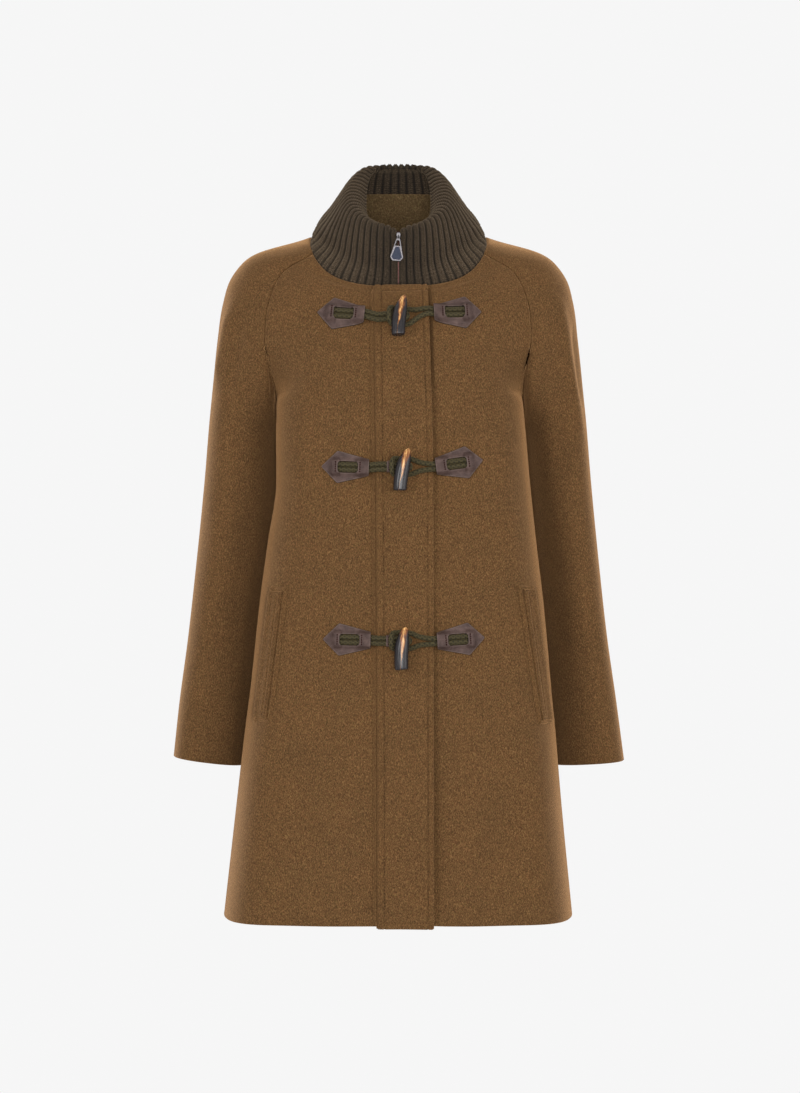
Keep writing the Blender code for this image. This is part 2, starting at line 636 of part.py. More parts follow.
# ---------------------------------------------------------------- placket, welts and zip
def build_placket(material, collection):
    outer, inner = [], []
    for z in [-0.0705, -0.085, -0.10, -0.12, -0.14, -0.165, -0.19, -0.22, -0.26, -0.30, -0.35,
              -0.40, -0.46, -0.52, -0.58, -0.64, -0.70, -0.76, -0.81, -0.853]:
        s = strip_station(z)
        sewn, free = column(PLACKET, "sewn_x", s), column(PLACKET, "free_x", s)
        rise = column(PLACKET, "lift", s)
        low = z - (PLACKET_DROP if z == -0.853 else 0.0)
        outer_row, inner_row = [], []
        for share in steps(0.0, 1.0, 6):
            lift = LIE + PLACKET_EASE + rise * ramp(0.35, 1.0, share)
            x = mix(sewn, free, share)
            inner_row.append(on_front(x, low, lift))
            outer_row.append(on_front(x, low, lift + PLACKET_THICK))
        outer.append(outer_row)
        inner.append(inner_row)
    return add_object("placket", slab("placket", outer, inner), material, collection)


def strip_station(z):
    """Station of the placket's table at height z."""
    for i in range(len(PLACKET) - 1):
        if z >= PLACKET[i + 1].z or i == len(PLACKET) - 2:
            return i + (PLACKET[i].z - z) / (PLACKET[i].z - PLACKET[i + 1].z)


def build_welt(side, material, collection):
    welt = WELTS[side]
    outer, inner = [], []
    for share in steps(0.0, 1.0, 7):
        z = mix(welt.top_z, welt.low_z, share)
        near, far = mix(welt.top_in, welt.low_in, share), mix(welt.top_out, welt.low_out, share)
        across = [mix(near, far, t) for t in steps(0.0, 1.0, 3)]
        inner.append([on_front(x, z, LIE) for x in across])
        outer.append([on_front(x, z, LIE + WELT_THICK) for x in across])
    name = "pocket_welt_" + side
    return add_object(name, slab(name, outer, inner), material, collection)


def centre_profile():
    """The middle of the front from the collar's top to the zip's foot: place, normal, depth."""
    places = []
    for k in steps(0.80, 0.04, 8):
        place = lambda a, b: collar_point("left", a, b)
        point = collar_point("left", 0.0, k)
        ahead = collar_point("left", 0.0, k + 0.01) - collar_point("left", 0.0, k - 0.01)
        normal = Vector((0.0, -ahead.z, ahead.y)).normalized()
        places.append((point, normal, KNIT + TAPE_EASE))
    for s in [0.25, 0.6, 1.0, 1.5, 2, 3, 4, 5, 6, 7, 8, 9, 10, 11, 12, 12.55]:
        point = panel_point(FRONT, "left", 0.0, s)
        ahead = panel_point(FRONT, "left", 0.0, s - 0.01) - panel_point(FRONT, "left", 0.0, s + 0.01)
        normal = Vector((0.0, -ahead.z, ahead.y)).normalized()
        places.append((point, normal, mix(KNIT + TAPE_EASE, CLOTH, ramp(0.0, 1.5, s))))
    return places


def zip_strip(name, x_near, x_far, behind, thick, material, collection):
    """A strip along the front's middle, `behind` the inner face of knit and cloth."""
    outer, inner = [], []
    across = (x_near, (x_near + x_far) * 0.5, x_far)
    for point, normal, deep in centre_profile():
        for rows, lift in ((outer, -deep - behind), (inner, -deep - behind - thick)):
            place = point + normal * lift
            rows.append([Vector((x, place.y + TAPE_CURVE * x * x, place.z)) for x in across])
    return add_object(name, slab(name, outer, inner), material, collection)


def box(name, size, centre):
    bm = bmesh.new()
    bmesh.ops.create_cube(bm, size=1.0)
    bmesh.ops.scale(bm, vec=size, verts=bm.verts)
    bmesh.ops.translate(bm, vec=centre, verts=bm.verts)
    mesh = bpy.data.meshes.new(name)
    bm.to_mesh(mesh)
    bm.free()
    return mesh


def tube(name, points, radius, collection, resolution=1):
    """A round cord or wire along points, with closed ends."""
    curve = bpy.data.curves.new(name, "CURVE")
    curve.dimensions = "3D"
    curve.bevel_depth = radius
    curve.bevel_resolution = resolution
    curve.use_fill_caps = True
    spline = curve.splines.new("POLY")
    spline.points.add(len(points) - 1)
    for node, point in zip(spline.points, points):
        node.co = (*point, 1.0)
    thing = bpy.data.objects.new(name, curve)
    collection.objects.link(thing)
    return thing


def as_mesh(thing, collection):
    """The curve object remade as a mesh object with its caps welded."""
    bpy.context.view_layer.update()
    graph = bpy.context.evaluated_depsgraph_get()
    mesh = bpy.data.meshes.new_from_object(thing.evaluated_get(graph))
    name = thing.name
    matrix = thing.matrix_world.copy()
    bpy.data.objects.remove(thing, do_unlink=True)
    bm = bmesh.new()
    bm.from_mesh(mesh)
    bmesh.ops.remove_doubles(bm, verts=bm.verts, dist=1e-5)
    bmesh.ops.recalc_face_normals(bm, faces=bm.faces)
    bm.to_mesh(mesh)
    bm.free()
    made = bpy.data.objects.new(name, mesh)
    made.matrix_world = matrix
    collection.objects.link(made)
    return made


def combine(thing, other, operation):
    """Join or cut thing with other, which stays out of the part."""
    other.hide_render = True
    other.display_type = "WIRE"
    boolean = thing.modifiers.new(operation.lower(), "BOOLEAN")
    boolean.operation = operation
    boolean.solver = "EXACT"
    boolean.object = other


def build_slider(material, collection, cutters):
    face_y = HINGE.y + ARCH_RADIUS + 0.0007
    centre = Vector((0.0, face_y + SLIDER_SIZE.y * 0.5, HINGE.z + 0.0010))
    slider = add_object("zip_slider", box("zip_slider", SLIDER_SIZE, centre), material, collection)
    bevel = slider.modifiers.new("edges", "BEVEL")
    bevel.width = 0.0007
    bevel.segments = 2
    path = [Vector((0.0, face_y + 0.0012, HINGE.z + ARCH_RADIUS))]
    for angle in steps(0.0, 180.0, 8):
        turn = math.radians(angle)
        path.append(HINGE + Vector((0.0, -math.sin(turn), math.cos(turn))) * ARCH_RADIUS)
    path.append(Vector((0.0, face_y + 0.0012, HINGE.z - ARCH_RADIUS)))
    arch = as_mesh(tube("slider_arch", path, ARCH_WIRE, cutters), cutters)
    combine(slider, arch, "UNION")
    return slider


def build_pull_tab(material, collection):
    """A flat tab with an eye round the slider's arch; its origin is on the hinge."""
    curve = bpy.data.curves.new("pull_tab", "CURVE")
    curve.dimensions = "2D"
    curve.fill_mode = "BOTH"
    curve.extrude = TAB_THICK * 0.5
    for half in (TAB_OUTLINE, TAB_EYE, TAB_WINDOW):
        outline = half + [(-x, y) for x, y in reversed(half)]
        spline = curve.splines.new("POLY")
        spline.points.add(len(outline) - 1)
        for node, (x, y) in zip(spline.points, outline):
            node.co = (x, y, 0.0, 1.0)
        spline.use_cyclic_u = True
    curve.materials.append(material)
    tab = bpy.data.objects.new("pull_tab", curve)
    tab.location = HINGE
    tab.rotation_euler = (math.radians(90.0), math.radians(TAB_LEAN), 0.0)
    collection.objects.link(tab)
    return tab


# ---------------------------------------------------------------- toggle fastenings
def patch_frame(row, side):
    """Point of the patch, the way towards the middle and the way up, in the front view."""
    fall = math.radians(row.right_fall if side == "right" else row.left_fall)
    inward = -SIDES[side]
    tip = (row.right_x, row.right_z) if side == "right" else (row.left_x, row.left_z)
    along = (inward * math.cos(fall), -math.sin(fall))
    up = (inward * math.sin(fall), math.cos(fall))
    return tip, along, up


def patch_place(row, side, along, across, lift):
    tip, way, up = patch_frame(row, side)
    x = tip[0] + way[0] * along + up[0] * across
    z = tip[1] + way[1] * along + up[1] * across
    return on_front(x, z, lift)


def leather_roof(along, across):
    """Underside of the leather above the front, raised where the cords lie below it."""
    over_cords = (ramp(0.009, 0.016, along) - 0.6 * ramp(0.0215, 0.025, along)
                  + 0.6 * ramp(0.041, 0.045, along))
    roof = 0.0068 * over_cords + 0.0034 * ramp(0.044, PATCH_LENGTH, along)
    return LIE + roof * (1.0 - ramp(0.0068, 0.0102, abs(across)))


def walk(corners, counts):
    """Points along straight runs between corners, a count of steps on each run."""
    points = [corners[0]]
    for a, b, count in zip(corners, corners[1:], counts):
        for t in steps(0.0, 1.0, count)[1:]:
            points.append((mix(a[0], b[0], t), mix(a[1], b[1], t)))
    return points


def build_patch(row, index, side, material, collection):
    nip = 0.0018
    half_outline = walk([(0.0, 0.0), (PATCH_SHOULDER, PATCH_HALF_WIDE),
                         (PATCH_LENGTH, PATCH_HALF_END), (PATCH_LENGTH, 0.0)], (3, 6, 3))
    half_window = walk([(WINDOW_START, 0.0), (WINDOW_START, WINDOW_HALF - nip),
                        (WINDOW_START + nip, WINDOW_HALF), (WINDOW_END - nip, WINDOW_HALF),
                        (WINDOW_END, WINDOW_HALF - nip), (WINDOW_END, 0.0)], (2, 1, 5, 1, 3))
    whole = [half + [(a, -b) for a, b in half[-2:0:-1]] for half in (half_outline, half_window)]
    outer, inner = [], []
    for t in (0.0, 0.35, 0.65, 0.85, 1.0):
        ring = [(mix(a[0], b[0], t), mix(a[1], b[1], t)) for a, b in zip(*whole)]
        inner.append([patch_place(row, side, a, c, leather_roof(a, c)) for a, c in ring])
        outer.append([patch_place(row, side, a, c, leather_roof(a, c) + LEATHER) for a, c in ring])
    bm = bmesh.new()
    top = grid_faces(bm, outer, closed=True)
    low = grid_faces(bm, inner, closed=True)
    for edge_top, edge_low in ((top[0], low[0]), (top[-1], low[-1])):
        for j in range(len(edge_top)):
            k = (j + 1) % len(edge_top)
            bm.faces.new((edge_top[j], edge_top[k], edge_low[k], edge_low[j]))
    name = "patch_%s_%d" % (side, index)
    return add_object(name, mesh_from(name, bm), material, collection)


def smooth_route(points, spacing):
    """Even points along a smooth curve through the route's own points."""
    fine = [through(points, i / 12.0) for i in range(12 * (len(points) - 1) + 1)]
    route, gone = [fine[0]], 0.0
    for a, b in zip(fine, fine[1:]):
        gone += (b - a).length
        if gone >= spacing:
            route.append(b)
            gone = 0.0
    if (route[-1] - fine[-1]).length < spacing * 0.6:
        route.pop()
    return route + [fine[-1]]


def cord_in_patch(row, side, across):
    """A strand from under the outer end of the window to the patch's inner end."""
    stops = ((WINDOW_START - 0.0030, CORD_LOW), (0.0300, CORD_LOW), (0.0400, CORD_LOW),
             (0.0480, 0.0046), (0.0540, 0.0058), (PATCH_LENGTH, CORD_END_LIFT))
    return [patch_place(row, side, along, across, lift) for along, lift in stops]


def build_toggle_cord(row, index, material, collection):
    """The doubled cord from the right patch, turning back inside the toggle's notch."""
    half = CORD_PITCH * 0.5
    route = {}
    for sign in (1.0, -1.0):
        strand = cord_in_patch(row, "right", sign * half)
        for x, lift in ((-0.0300, CORD_OVER), (-0.0210, CORD_OVER + 0.0005),
                        (-0.0125, STEM_EDGE_LIFT), (-0.0060, 0.0108), (0.0, STEM_LIFT),
                        (STEM_REACH - half, STEM_LIFT)):
            strand.append(on_front(row.toggle_x + x, row.cross_z + sign * half, lift))
        route[sign] = strand
    turn = on_front(row.toggle_x + STEM_REACH, row.cross_z, STEM_LIFT)
    points = smooth_route(route[1.0] + [turn] + route[-1.0][::-1], 0.0042)
    cord = tube("toggle_cord_%d" % index, points, CORD_RADIUS, collection)
    cord.data.materials.append(material)
    return cord


def left_fall(row, x):
    """How far above the crossing the left patch's middle line runs at x."""
    tip, along, _ = patch_frame(row, "left")
    return tip[1] + along[1] * (x - tip[0]) / along[0] - row.cross_z


def build_loop_cord(row, index, material, collection):
    """The loop from the left patch, under the toggle and over the toggle's own cord."""
    half = CORD_PITCH * 0.5
    arms = {}
    for sign in (1.0, -1.0):
        strand = cord_in_patch(row, "left", sign * half)
        free = column(PLACKET, "free_x", strip_station(row.cross_z))
        rise = column(PLACKET, "lift", strip_station(row.cross_z))
        edge_lift = CORD_OVER + rise + 0.0007
        reach = free - row.toggle_x
        strand.append(on_front(free, row.cross_z + left_fall(row, free) + sign * half, edge_lift))
        for x, apart, lift in ((0.0250, 0.0043, CORD_OVER + rise),
                               (0.0180, 0.0060, CORD_OVER + rise * 0.6),
                               (0.0100, 0.0090, CORD_OVER + rise * 0.2),
                               (0.0, 0.0097, CORD_OVER),
                               (-0.0070, 0.0099, 0.0086), (-0.0115, 0.0094, 0.0118),
                               (-0.0138, 0.0064, 0.0155), (-0.0143, 0.0030, 0.0168)):
            up = sign * apart + left_fall(row, free) * ramp(0.008, reach, x)
            strand.append(on_front(row.toggle_x + x, row.cross_z + up, lift))
        arms[sign] = strand
    points = smooth_route(arms[1.0] + arms[-1.0][::-1], 0.0042)
    cord = tube("loop_cord_%d" % index, points, CORD_RADIUS, collection)
    cord.data.materials.append(material)
    return cord


def build_toggle(row, index, material, collection, cutters):
    sides = 14
    middle = on_front(row.toggle_x, row.toggle_z, TOGGLE_LIFT)
    top = on_front(row.toggle_x, row.toggle_z + 0.02, TOGGLE_LIFT)
    low = on_front(row.toggle_x, row.toggle_z - 0.02, TOGGLE_LIFT)
    slope = math.atan2(top.y - low.y, top.z - low.z)
    hang = slope * TOGGLE_HANG
    bm = bmesh.new()
    rows = []
    for section in HORN:
        bow = TOGGLE_BOW * (1.0 - (section.up / HORN[0].up) ** 2) - TOGGLE_BOW * 0.5
        ring = []
        for i in range(sides):
            angle = 2.0 * math.pi * i / sides
            ring.append(Vector((section.half_wide * math.cos(angle) - bow,
                                section.half_deep * math.sin(angle), section.up)))
        rows.append(ring)
    verts = grid_faces(bm, rows, closed=True)
    bm.faces.new(verts[0])
    bm.faces.new(verts[-1])
    name = "toggle_%d" % index
    toggle = add_object(name, mesh_from(name, bm), material, collection)
    toggle.location = middle
    toggle.rotation_euler = (-hang, math.radians(row.tilt), 0.0)
    notch_size = Vector((0.0280, 0.0090, 0.0136))
    roof = on_front(row.toggle_x, row.cross_z, STEM_LIFT + CORD_RADIUS + 0.0005)
    notch_centre = Vector((0.0020, notch_size.y * 0.5, 0.0))
    cutter = bpy.data.objects.new("notch_%d" % index, box("notch", notch_size, notch_centre))
    cutter.location = roof
    cutter.rotation_euler = (-slope, 0.0, 0.0)
    cutters.objects.link(cutter)
    combine(toggle, cutter, "DIFFERENCE")
    return toggle


# ---------------------------------------------------------------- the whole coat
def build_coat():
    clear_scene()
    coat = bpy.data.collections.new("toggle_coat")
    cutters = bpy.data.collections.new("cutters")
    bpy.context.scene.collection.children.link(coat)
    bpy.context.scene.collection.children.link(cutters)

    wool = make_material("wool_cloth", (0.150, 0.078, 0.030), 0.95)
    knit = make_material("rib_knit", (0.050, 0.036, 0.025), 0.95)
    leather = make_material("leather", (0.085, 0.055, 0.045), 0.50)
    cord = make_material("braided_cord", (0.040, 0.034, 0.015), 0.85)
    horn = make_material("horn", (0.035, 0.022, 0.018), 0.20)
    tape = make_material("zip_tape", (0.030, 0.020, 0.018), 0.90)
    metal = make_material("zip_metal", (0.350, 0.340, 0.350), 0.30, 1.0)

    build_back(wool, coat)
    for side in SIDES:
        build_front(side, wool, coat)
        build_sleeve(side, wool, coat)
        build_welt(side, wool, coat)
    build_collar(knit, coat)
    build_neck_facing(wool, coat)
    build_placket(wool, coat)

    zip_strip("zip_tape_right", -0.0008 - TAPE_WIDTH, -0.0008, LIE, TAPE_THICK, tape, coat)
    zip_strip("zip_tape_left", 0.0008, 0.0008 + TAPE_WIDTH, LIE, TAPE_THICK, tape, coat)
    chain_behind = LIE - 0.0004 - CHAIN_THICK
    zip_strip("zip_chain", -CHAIN_HALF, CHAIN_HALF, chain_behind, CHAIN_THICK, metal, coat)
    build_slider(metal, coat, cutters)
    build_pull_tab(metal, coat)

    for index, row in enumerate(FASTENINGS, start=1):
        for side in SIDES:
            build_patch(row, index, side, leather, coat)
        build_toggle_cord(row, index, cord, coat)
        build_loop_cord(row, index, cord, coat)
        build_toggle(row, index, horn, coat, cutters)


build_coat()
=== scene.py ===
# %% [markdown]
# # A toggle coat in felted wool
# The coat stands filled out, as if someone wore it: a hollow body, two raglan sleeves, a collar in
# rib knit, a placket over a zip, and three fastenings with leather patches, cords and horn toggles.
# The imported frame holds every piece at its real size. This lesson dresses each of them with finer
# cloth, knit, leather, cord and horn, and leaves the sizes alone.

import math
from collections import namedtuple

import bpy
import numpy as np
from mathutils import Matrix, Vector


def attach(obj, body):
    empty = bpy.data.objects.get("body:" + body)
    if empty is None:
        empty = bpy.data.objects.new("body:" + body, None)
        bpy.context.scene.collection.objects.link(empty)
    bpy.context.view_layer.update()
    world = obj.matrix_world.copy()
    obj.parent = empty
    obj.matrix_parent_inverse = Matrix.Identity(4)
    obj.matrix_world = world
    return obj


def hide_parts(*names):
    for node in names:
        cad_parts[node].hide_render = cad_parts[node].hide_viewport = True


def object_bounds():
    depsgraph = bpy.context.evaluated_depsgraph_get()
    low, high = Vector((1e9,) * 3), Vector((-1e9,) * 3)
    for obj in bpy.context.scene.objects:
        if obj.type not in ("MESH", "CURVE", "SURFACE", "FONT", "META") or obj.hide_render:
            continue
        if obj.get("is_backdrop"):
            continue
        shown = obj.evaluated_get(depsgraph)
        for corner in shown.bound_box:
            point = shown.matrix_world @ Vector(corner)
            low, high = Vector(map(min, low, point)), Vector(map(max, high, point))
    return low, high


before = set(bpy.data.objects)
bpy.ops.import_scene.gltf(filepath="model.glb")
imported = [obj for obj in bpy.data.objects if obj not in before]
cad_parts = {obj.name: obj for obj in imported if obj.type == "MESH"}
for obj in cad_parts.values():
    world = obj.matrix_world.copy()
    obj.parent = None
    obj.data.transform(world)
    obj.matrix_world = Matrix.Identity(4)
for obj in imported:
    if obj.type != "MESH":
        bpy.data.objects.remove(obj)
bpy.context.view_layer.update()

# %% [markdown]
# ## The camera
# A long lens a few metres away flattens the coat as a catalogue picture does. The lens looks
# straight along +Y from a little above the waist, so the inside of the collar shows at the top and
# the hem curves up at the sides. The camera comes first because later choices, such as how fine a
# mesh must be, depend on what it sees.

# %% Camera
def show(thing):
    """Put an object into the scene: until then it is only data."""
    bpy.context.scene.collection.objects.link(thing)


lens = bpy.data.cameras.new("camera")
lens.lens = 90.0
lens.sensor_width = 36.0
camera = bpy.data.objects.new("camera", lens)
camera.location = (0.0019, -3.47, -0.392)
camera.rotation_euler = (math.pi / 2.0, 0.0, 0.0)
show(camera)
bpy.context.scene.camera = camera
print("camera", tuple(round(v, 3) for v in camera.location), lens.lens, "mm")

# %% [markdown]
# ## Floor and light
# The picture has an even, nearly white surround and almost no cast shadow. A white world gives
# that light from all round, and brightens the fuzzy edges of the wool. A large soft
# lamp in front lights the middle, one from the wearer's right puts a shadow beside the placket
# and the cords, one from the left opens the other sleeve, and two behind light the outline. The
# floor is a plain pale sheet well below the hem, bright by itself, so it stays as even as the rest.

# %% World, floor and lamps
SURROUND = 0.923
FLOOR_HALF, FLOOR_Z = 40.0, -1.6
LAMP_AIM = np.array([0.0, 0.0, -0.4])      # the middle of the coat

world = bpy.data.worlds.new("white_studio")
world.use_nodes = True
sky = world.node_tree.nodes["Background"].inputs
sky["Color"].default_value = (1.0, 1.0, 1.0, 1.0)
sky["Strength"].default_value = SURROUND
bpy.context.scene.world = world
bpy.context.scene.view_settings.view_transform = "Standard"

floor_mesh = bpy.data.meshes.new("floor")
corners = [(x * FLOOR_HALF, y * FLOOR_HALF, FLOOR_Z) for x, y in ((-1, -1), (1, -1), (1, 1), (-1, 1))]
floor_mesh.from_pydata(corners, [], [(0, 1, 2, 3)])
floor = bpy.data.objects.new("floor", floor_mesh)
show(floor)
floor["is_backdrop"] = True
pale = bpy.data.materials.new("pale_floor")
pale.use_nodes = True
for socket, value in (("Base Color", (0, 0, 0, 1)), ("Specular IOR Level", 0.0),
                      ("Emission Color", (1, 1, 1, 1)), ("Emission Strength", SURROUND)):
    pale.node_tree.nodes["Principled BSDF"].inputs[socket].default_value = value
floor_mesh.materials.append(pale)

Lamp = namedtuple("Lamp", "name x y z size power")
for row in (Lamp("front", 0.3, -3.3, -0.2, 1.6, 98.0), Lamp("key_right", -2.0, -2.6, 0.2, 1.2, 44.0),
            Lamp("fill_left", 2.4, -2.2, -0.2, 1.4, 26.0),
            Lamp("rim_right", -2.2, 1.3, -0.2, 1.4, 66.0), Lamp("rim_left", 2.2, 1.3, -0.2, 1.4, 40.0)):
    light = bpy.data.lights.new(row.name, "AREA")
    light.size = row.size
    light.energy = row.power
    lamp = bpy.data.objects.new(row.name, light)
    lamp.location = (row.x, row.y, row.z)
    aim = LAMP_AIM - np.array(lamp.location)
    lamp.rotation_euler = (math.atan2(math.hypot(aim[0], aim[1]), -aim[2]), 0.0,
                           math.atan2(-aim[0], aim[1]))
    show(lamp)

# %% [markdown]
# ## The cut of the coat, as tables
# A coat is drafted level by level. Each row of these tables is one level of a front or of the
# back, from the neck seam to the hem: the middle of the panel, its outer edge (the raglan seam,
# then the side seam), and how full the curve between them is. The sleeves are tables of rings,
# and the collar a table of tilted levels. They are the sizes that the frame was built from, so
# fine cloth made from them lies exactly on the frame's solids.

# %% Tables of the body
Station = namedtuple("Station", "mid_y mid_z right_x left_x edge_y edge_z turn rise near far")
FRONT = [
    Station(-0.0760, -0.0685, 0.1066, 0.1066, -0.060, -0.0260, 55, 1.30, 0.50, 0.38),
    Station(-0.0880, -0.0830, 0.1451, 0.1446, -0.066, -0.0500, 30, 0.15, 0.45, 0.36),
    Station(-0.0960, -0.0980, 0.1572, 0.1565, -0.074, -0.0732, 28, -0.05, 0.44, 0.33),
    Station(-0.1050, -0.1200, 0.1648, 0.1645, -0.081, -0.1060, 28, -0.12, 0.44, 0.31),
    Station(-0.1110, -0.1400, 0.1668, 0.1652, -0.081, -0.1347, 32, -0.12, 0.48, 0.33),
    Station(-0.1160, -0.1640, 0.1632, 0.1600, -0.071, -0.1630, 45, -0.10, 0.55, 0.42),
    Station(-0.1205, -0.1900, 0.1545, 0.1565, -0.045, -0.1940, 70, -0.05, 0.62, 0.56),
    Station(-0.1235, -0.2150, 0.1543, 0.1579, 0.000, -0.2150, 90, 0.00, 0.66, 0.62),
    Station(-0.1275, -0.3070, 0.1543, 0.1657, 0.000, -0.3070, 90, 0.00, 0.68, 0.63),
    Station(-0.1295, -0.3860, 0.1651, 0.1740, 0.000, -0.3860, 90, 0.00, 0.68, 0.62),
    Station(-0.1325, -0.4600, 0.1751, 0.1828, 0.000, -0.4600, 90, 0.00, 0.68, 0.61),
    Station(-0.1375, -0.5830, 0.1882, 0.1940, 0.000, -0.5830, 90, 0.00, 0.68, 0.60),
    Station(-0.1430, -0.7010, 0.2020, 0.2036, 0.000, -0.7010, 90, 0.00, 0.68, 0.59),
    Station(-0.1500, -0.8530, 0.2195, 0.2185, 0.000, -0.8530, 90, 0.00, 0.68, 0.58),
]
BACK = [
    Station(0.0700, 0.0120, 0.0980, 0.0980, 0.046, 0.0060, 60, -0.20, 0.50, 0.38),
    Station(0.0830, -0.0160, 0.1340, 0.1340, 0.064, -0.0200, 35, -0.15, 0.45, 0.36),
    Station(0.0930, -0.0450, 0.1500, 0.1500, 0.077, -0.0480, 30, -0.12, 0.44, 0.33),
    Station(0.1030, -0.0820, 0.1610, 0.1610, 0.088, -0.0850, 30, -0.10, 0.44, 0.31),
    Station(0.1100, -0.1170, 0.1655, 0.1650, 0.087, -0.1200, 33, -0.08, 0.48, 0.33),
    Station(0.1150, -0.1520, 0.1640, 0.1630, 0.075, -0.1550, 46, -0.05, 0.55, 0.42),
    Station(0.1180, -0.1860, 0.1560, 0.1580, 0.045, -0.1920, 70, 0.00, 0.62, 0.56),
]
ARMPIT = len(BACK)        # the level where the raglan seams meet the side seam
HEM = len(FRONT) - 1
# Below the armpit the back has the front's side seam, and only its own depth in the middle.
BACK_DEPTHS = (0.1200, 0.1230, 0.1260, 0.1300, 0.1370, 0.1430, 0.1500)
BACK += [row._replace(mid_y=deep) for row, deep in zip(FRONT[ARMPIT:], BACK_DEPTHS)]
SHOULDER = np.array([0.1110, -0.004, 0.0000])   # where the neck seam crosses the shoulder
SHOULDER_SLOPE = -0.42
SIGN = {"right": -1.0, "left": 1.0}
print(len(FRONT), "levels from", FRONT[0].mid_z, "to", FRONT[HEM].mid_z)

# %% Tables of the sleeves and the collar
Ring = namedtuple("Ring", "outer_x outer_z inner_x inner_z front back")
RIGHT_RINGS = [
    Ring(0.1975, -0.0330, 0.1590, -0.2240, 0.0780, 0.0860),
    Ring(0.2128, -0.0537, 0.1592, -0.2290, 0.0770, 0.0840),
    Ring(0.2225, -0.0850, 0.1592, -0.2360, 0.0755, 0.0820),
    Ring(0.2292, -0.1300, 0.1590, -0.2440, 0.0740, 0.0800),
    Ring(0.2343, -0.1800, 0.1588, -0.2540, 0.0725, 0.0770),
    Ring(0.2394, -0.2315, 0.1585, -0.2680, 0.0710, 0.0740),
    Ring(0.2457, -0.3070, 0.1585, -0.3180, 0.0680, 0.0700),
    Ring(0.2559, -0.4080, 0.1720, -0.4140, 0.0640, 0.0660),
    Ring(0.2673, -0.5100, 0.1838, -0.5150, 0.0600, 0.0610),
    Ring(0.2775, -0.5865, 0.1915, -0.5940, 0.0570, 0.0570),
    Ring(0.2851, -0.6566, 0.2012, -0.6700, 0.0540, 0.0540),
]
LEFT_REACH = ((0.1975, 0.1590), (0.2125, 0.1600), (0.2215, 0.1615), (0.2272, 0.1635),
              (0.2325, 0.1660), (0.2376, 0.1690), (0.2438, 0.1745), (0.2536, 0.1840),
              (0.2650, 0.1935), (0.2760, 0.1985), (0.2860, 0.2040))
LEFT_CUFF_Z = -0.6616
LEFT_RINGS = [row._replace(outer_x=outer, inner_x=inner)
              for row, (outer, inner) in zip(RIGHT_RINGS, LEFT_REACH)]
LEFT_RINGS[-1] = LEFT_RINGS[-1]._replace(outer_z=LEFT_CUFF_Z)
SLEEVE = {"right": RIGHT_RINGS, "left": LEFT_RINGS}
SEAM_SHARE = 0.40         # share of a sleeve's way round that lies on each raglan seam
FALL = [0.0, 0.0, 0.0, 0.05, 0.15, 0.45, 0.85, 1.0]   # how far the seam is a crease, by level

Level = namedtuple("Level", "half_width front_y front_z side_z back_y back_z")
COLLAR = [
    Level(0.1015, -0.0770, -0.0500, 0.0140, 0.0740, 0.0340),
    Level(0.0890, -0.0775, -0.0320, 0.0280, 0.0745, 0.0550),
    Level(0.0785, -0.0767, -0.0160, 0.0400, 0.0725, 0.0765),
    Level(0.0700, -0.0745, -0.0030, 0.0490, 0.0680, 0.0925),
    Level(0.0615, -0.0700, 0.0050, 0.0540, 0.0625, 0.0990),
    Level(0.0505, -0.0655, 0.0045, 0.0520, 0.0610, 0.1000),
    Level(0.0425, -0.0600, -0.0005, 0.0440, 0.0603, 0.1004),
]
COLLAR_ROUND, COLLAR_SQUARE = 0.80, 0.25
NECK_FRONT_SHARE, NECK_SLEEVE_SHARE = 0.34, 0.31
print("sleeve rings", len(SLEEVE["left"]), "collar levels", len(COLLAR))

# %% [markdown]
# ## Curves between the table's rows
# `column` reads one column of a table at any place between two rows. It uses a curve that never
# swings past its neighbours, because a seam that wavers looks badly sewn. `through` is the plain
# smooth curve for forms that may swell a little, such as the collar. Both take whole arrays: a
# panel has thousands of points, and numpy works them out together.

# %% Curves
def unit(vectors):
    return vectors / np.maximum(np.linalg.norm(vectors, axis=-1, keepdims=True), 1e-12)


def ramp(a, b, value):
    """0 before a, 1 past b, and a soft change between, also where b is below a."""
    t = np.clip((np.asarray(value, float) - a) / (b - a), 0.0, 1.0)
    return t * t * (3.0 - 2.0 * t)


def hermite(a, slope_a, b, slope_b, t):
    t2, t3 = t * t, t * t * t
    return (a * (2 * t3 - 3 * t2 + 1) + slope_a * (t3 - 2 * t2 + t)
            + b * (3 * t2 - 2 * t3) + slope_b * (t3 - t2))


def column(table, name, s):
    values = np.array([getattr(row, name) for row in table], float)
    rises = np.diff(values)
    before = np.concatenate([rises[:1], rises])
    after = np.concatenate([rises, rises[-1:]])
    product, total = before * after, before + after
    slopes = np.where(product > 0.0, 2.0 * product / np.where(total == 0.0, 1.0, total), 0.0)
    i = np.clip(np.asarray(s, float).astype(int), 0, len(values) - 2)
    return hermite(values[i], slopes[i], values[i + 1], slopes[i + 1], s - i)


def through(points, s):
    """Smooth curve through points along the first axis, read at the stations s."""
    points = np.asarray(points, float)
    first = points[:1] * 2.0 - points[1:2]
    last = points[-1:] * 2.0 - points[-2:-1]
    padded = np.concatenate([first, points, last])
    i = np.clip(np.asarray(s, float).astype(int), 0, len(points) - 2)
    t = np.asarray(s, float) - i
    t = t.reshape(t.shape + (1,) * (points.ndim - 1))
    slope_a = (padded[i + 2] - padded[i]) * 0.5
    slope_b = (padded[i + 3] - padded[i + 1]) * 0.5
    return hermite(points[i], slope_a, points[i + 1], slope_b, t)


def walked(line):
    """Way walked from a line's first point to each of its points."""
    return np.concatenate([[0.0], np.cumsum(np.linalg.norm(np.diff(line, axis=0), axis=1))])


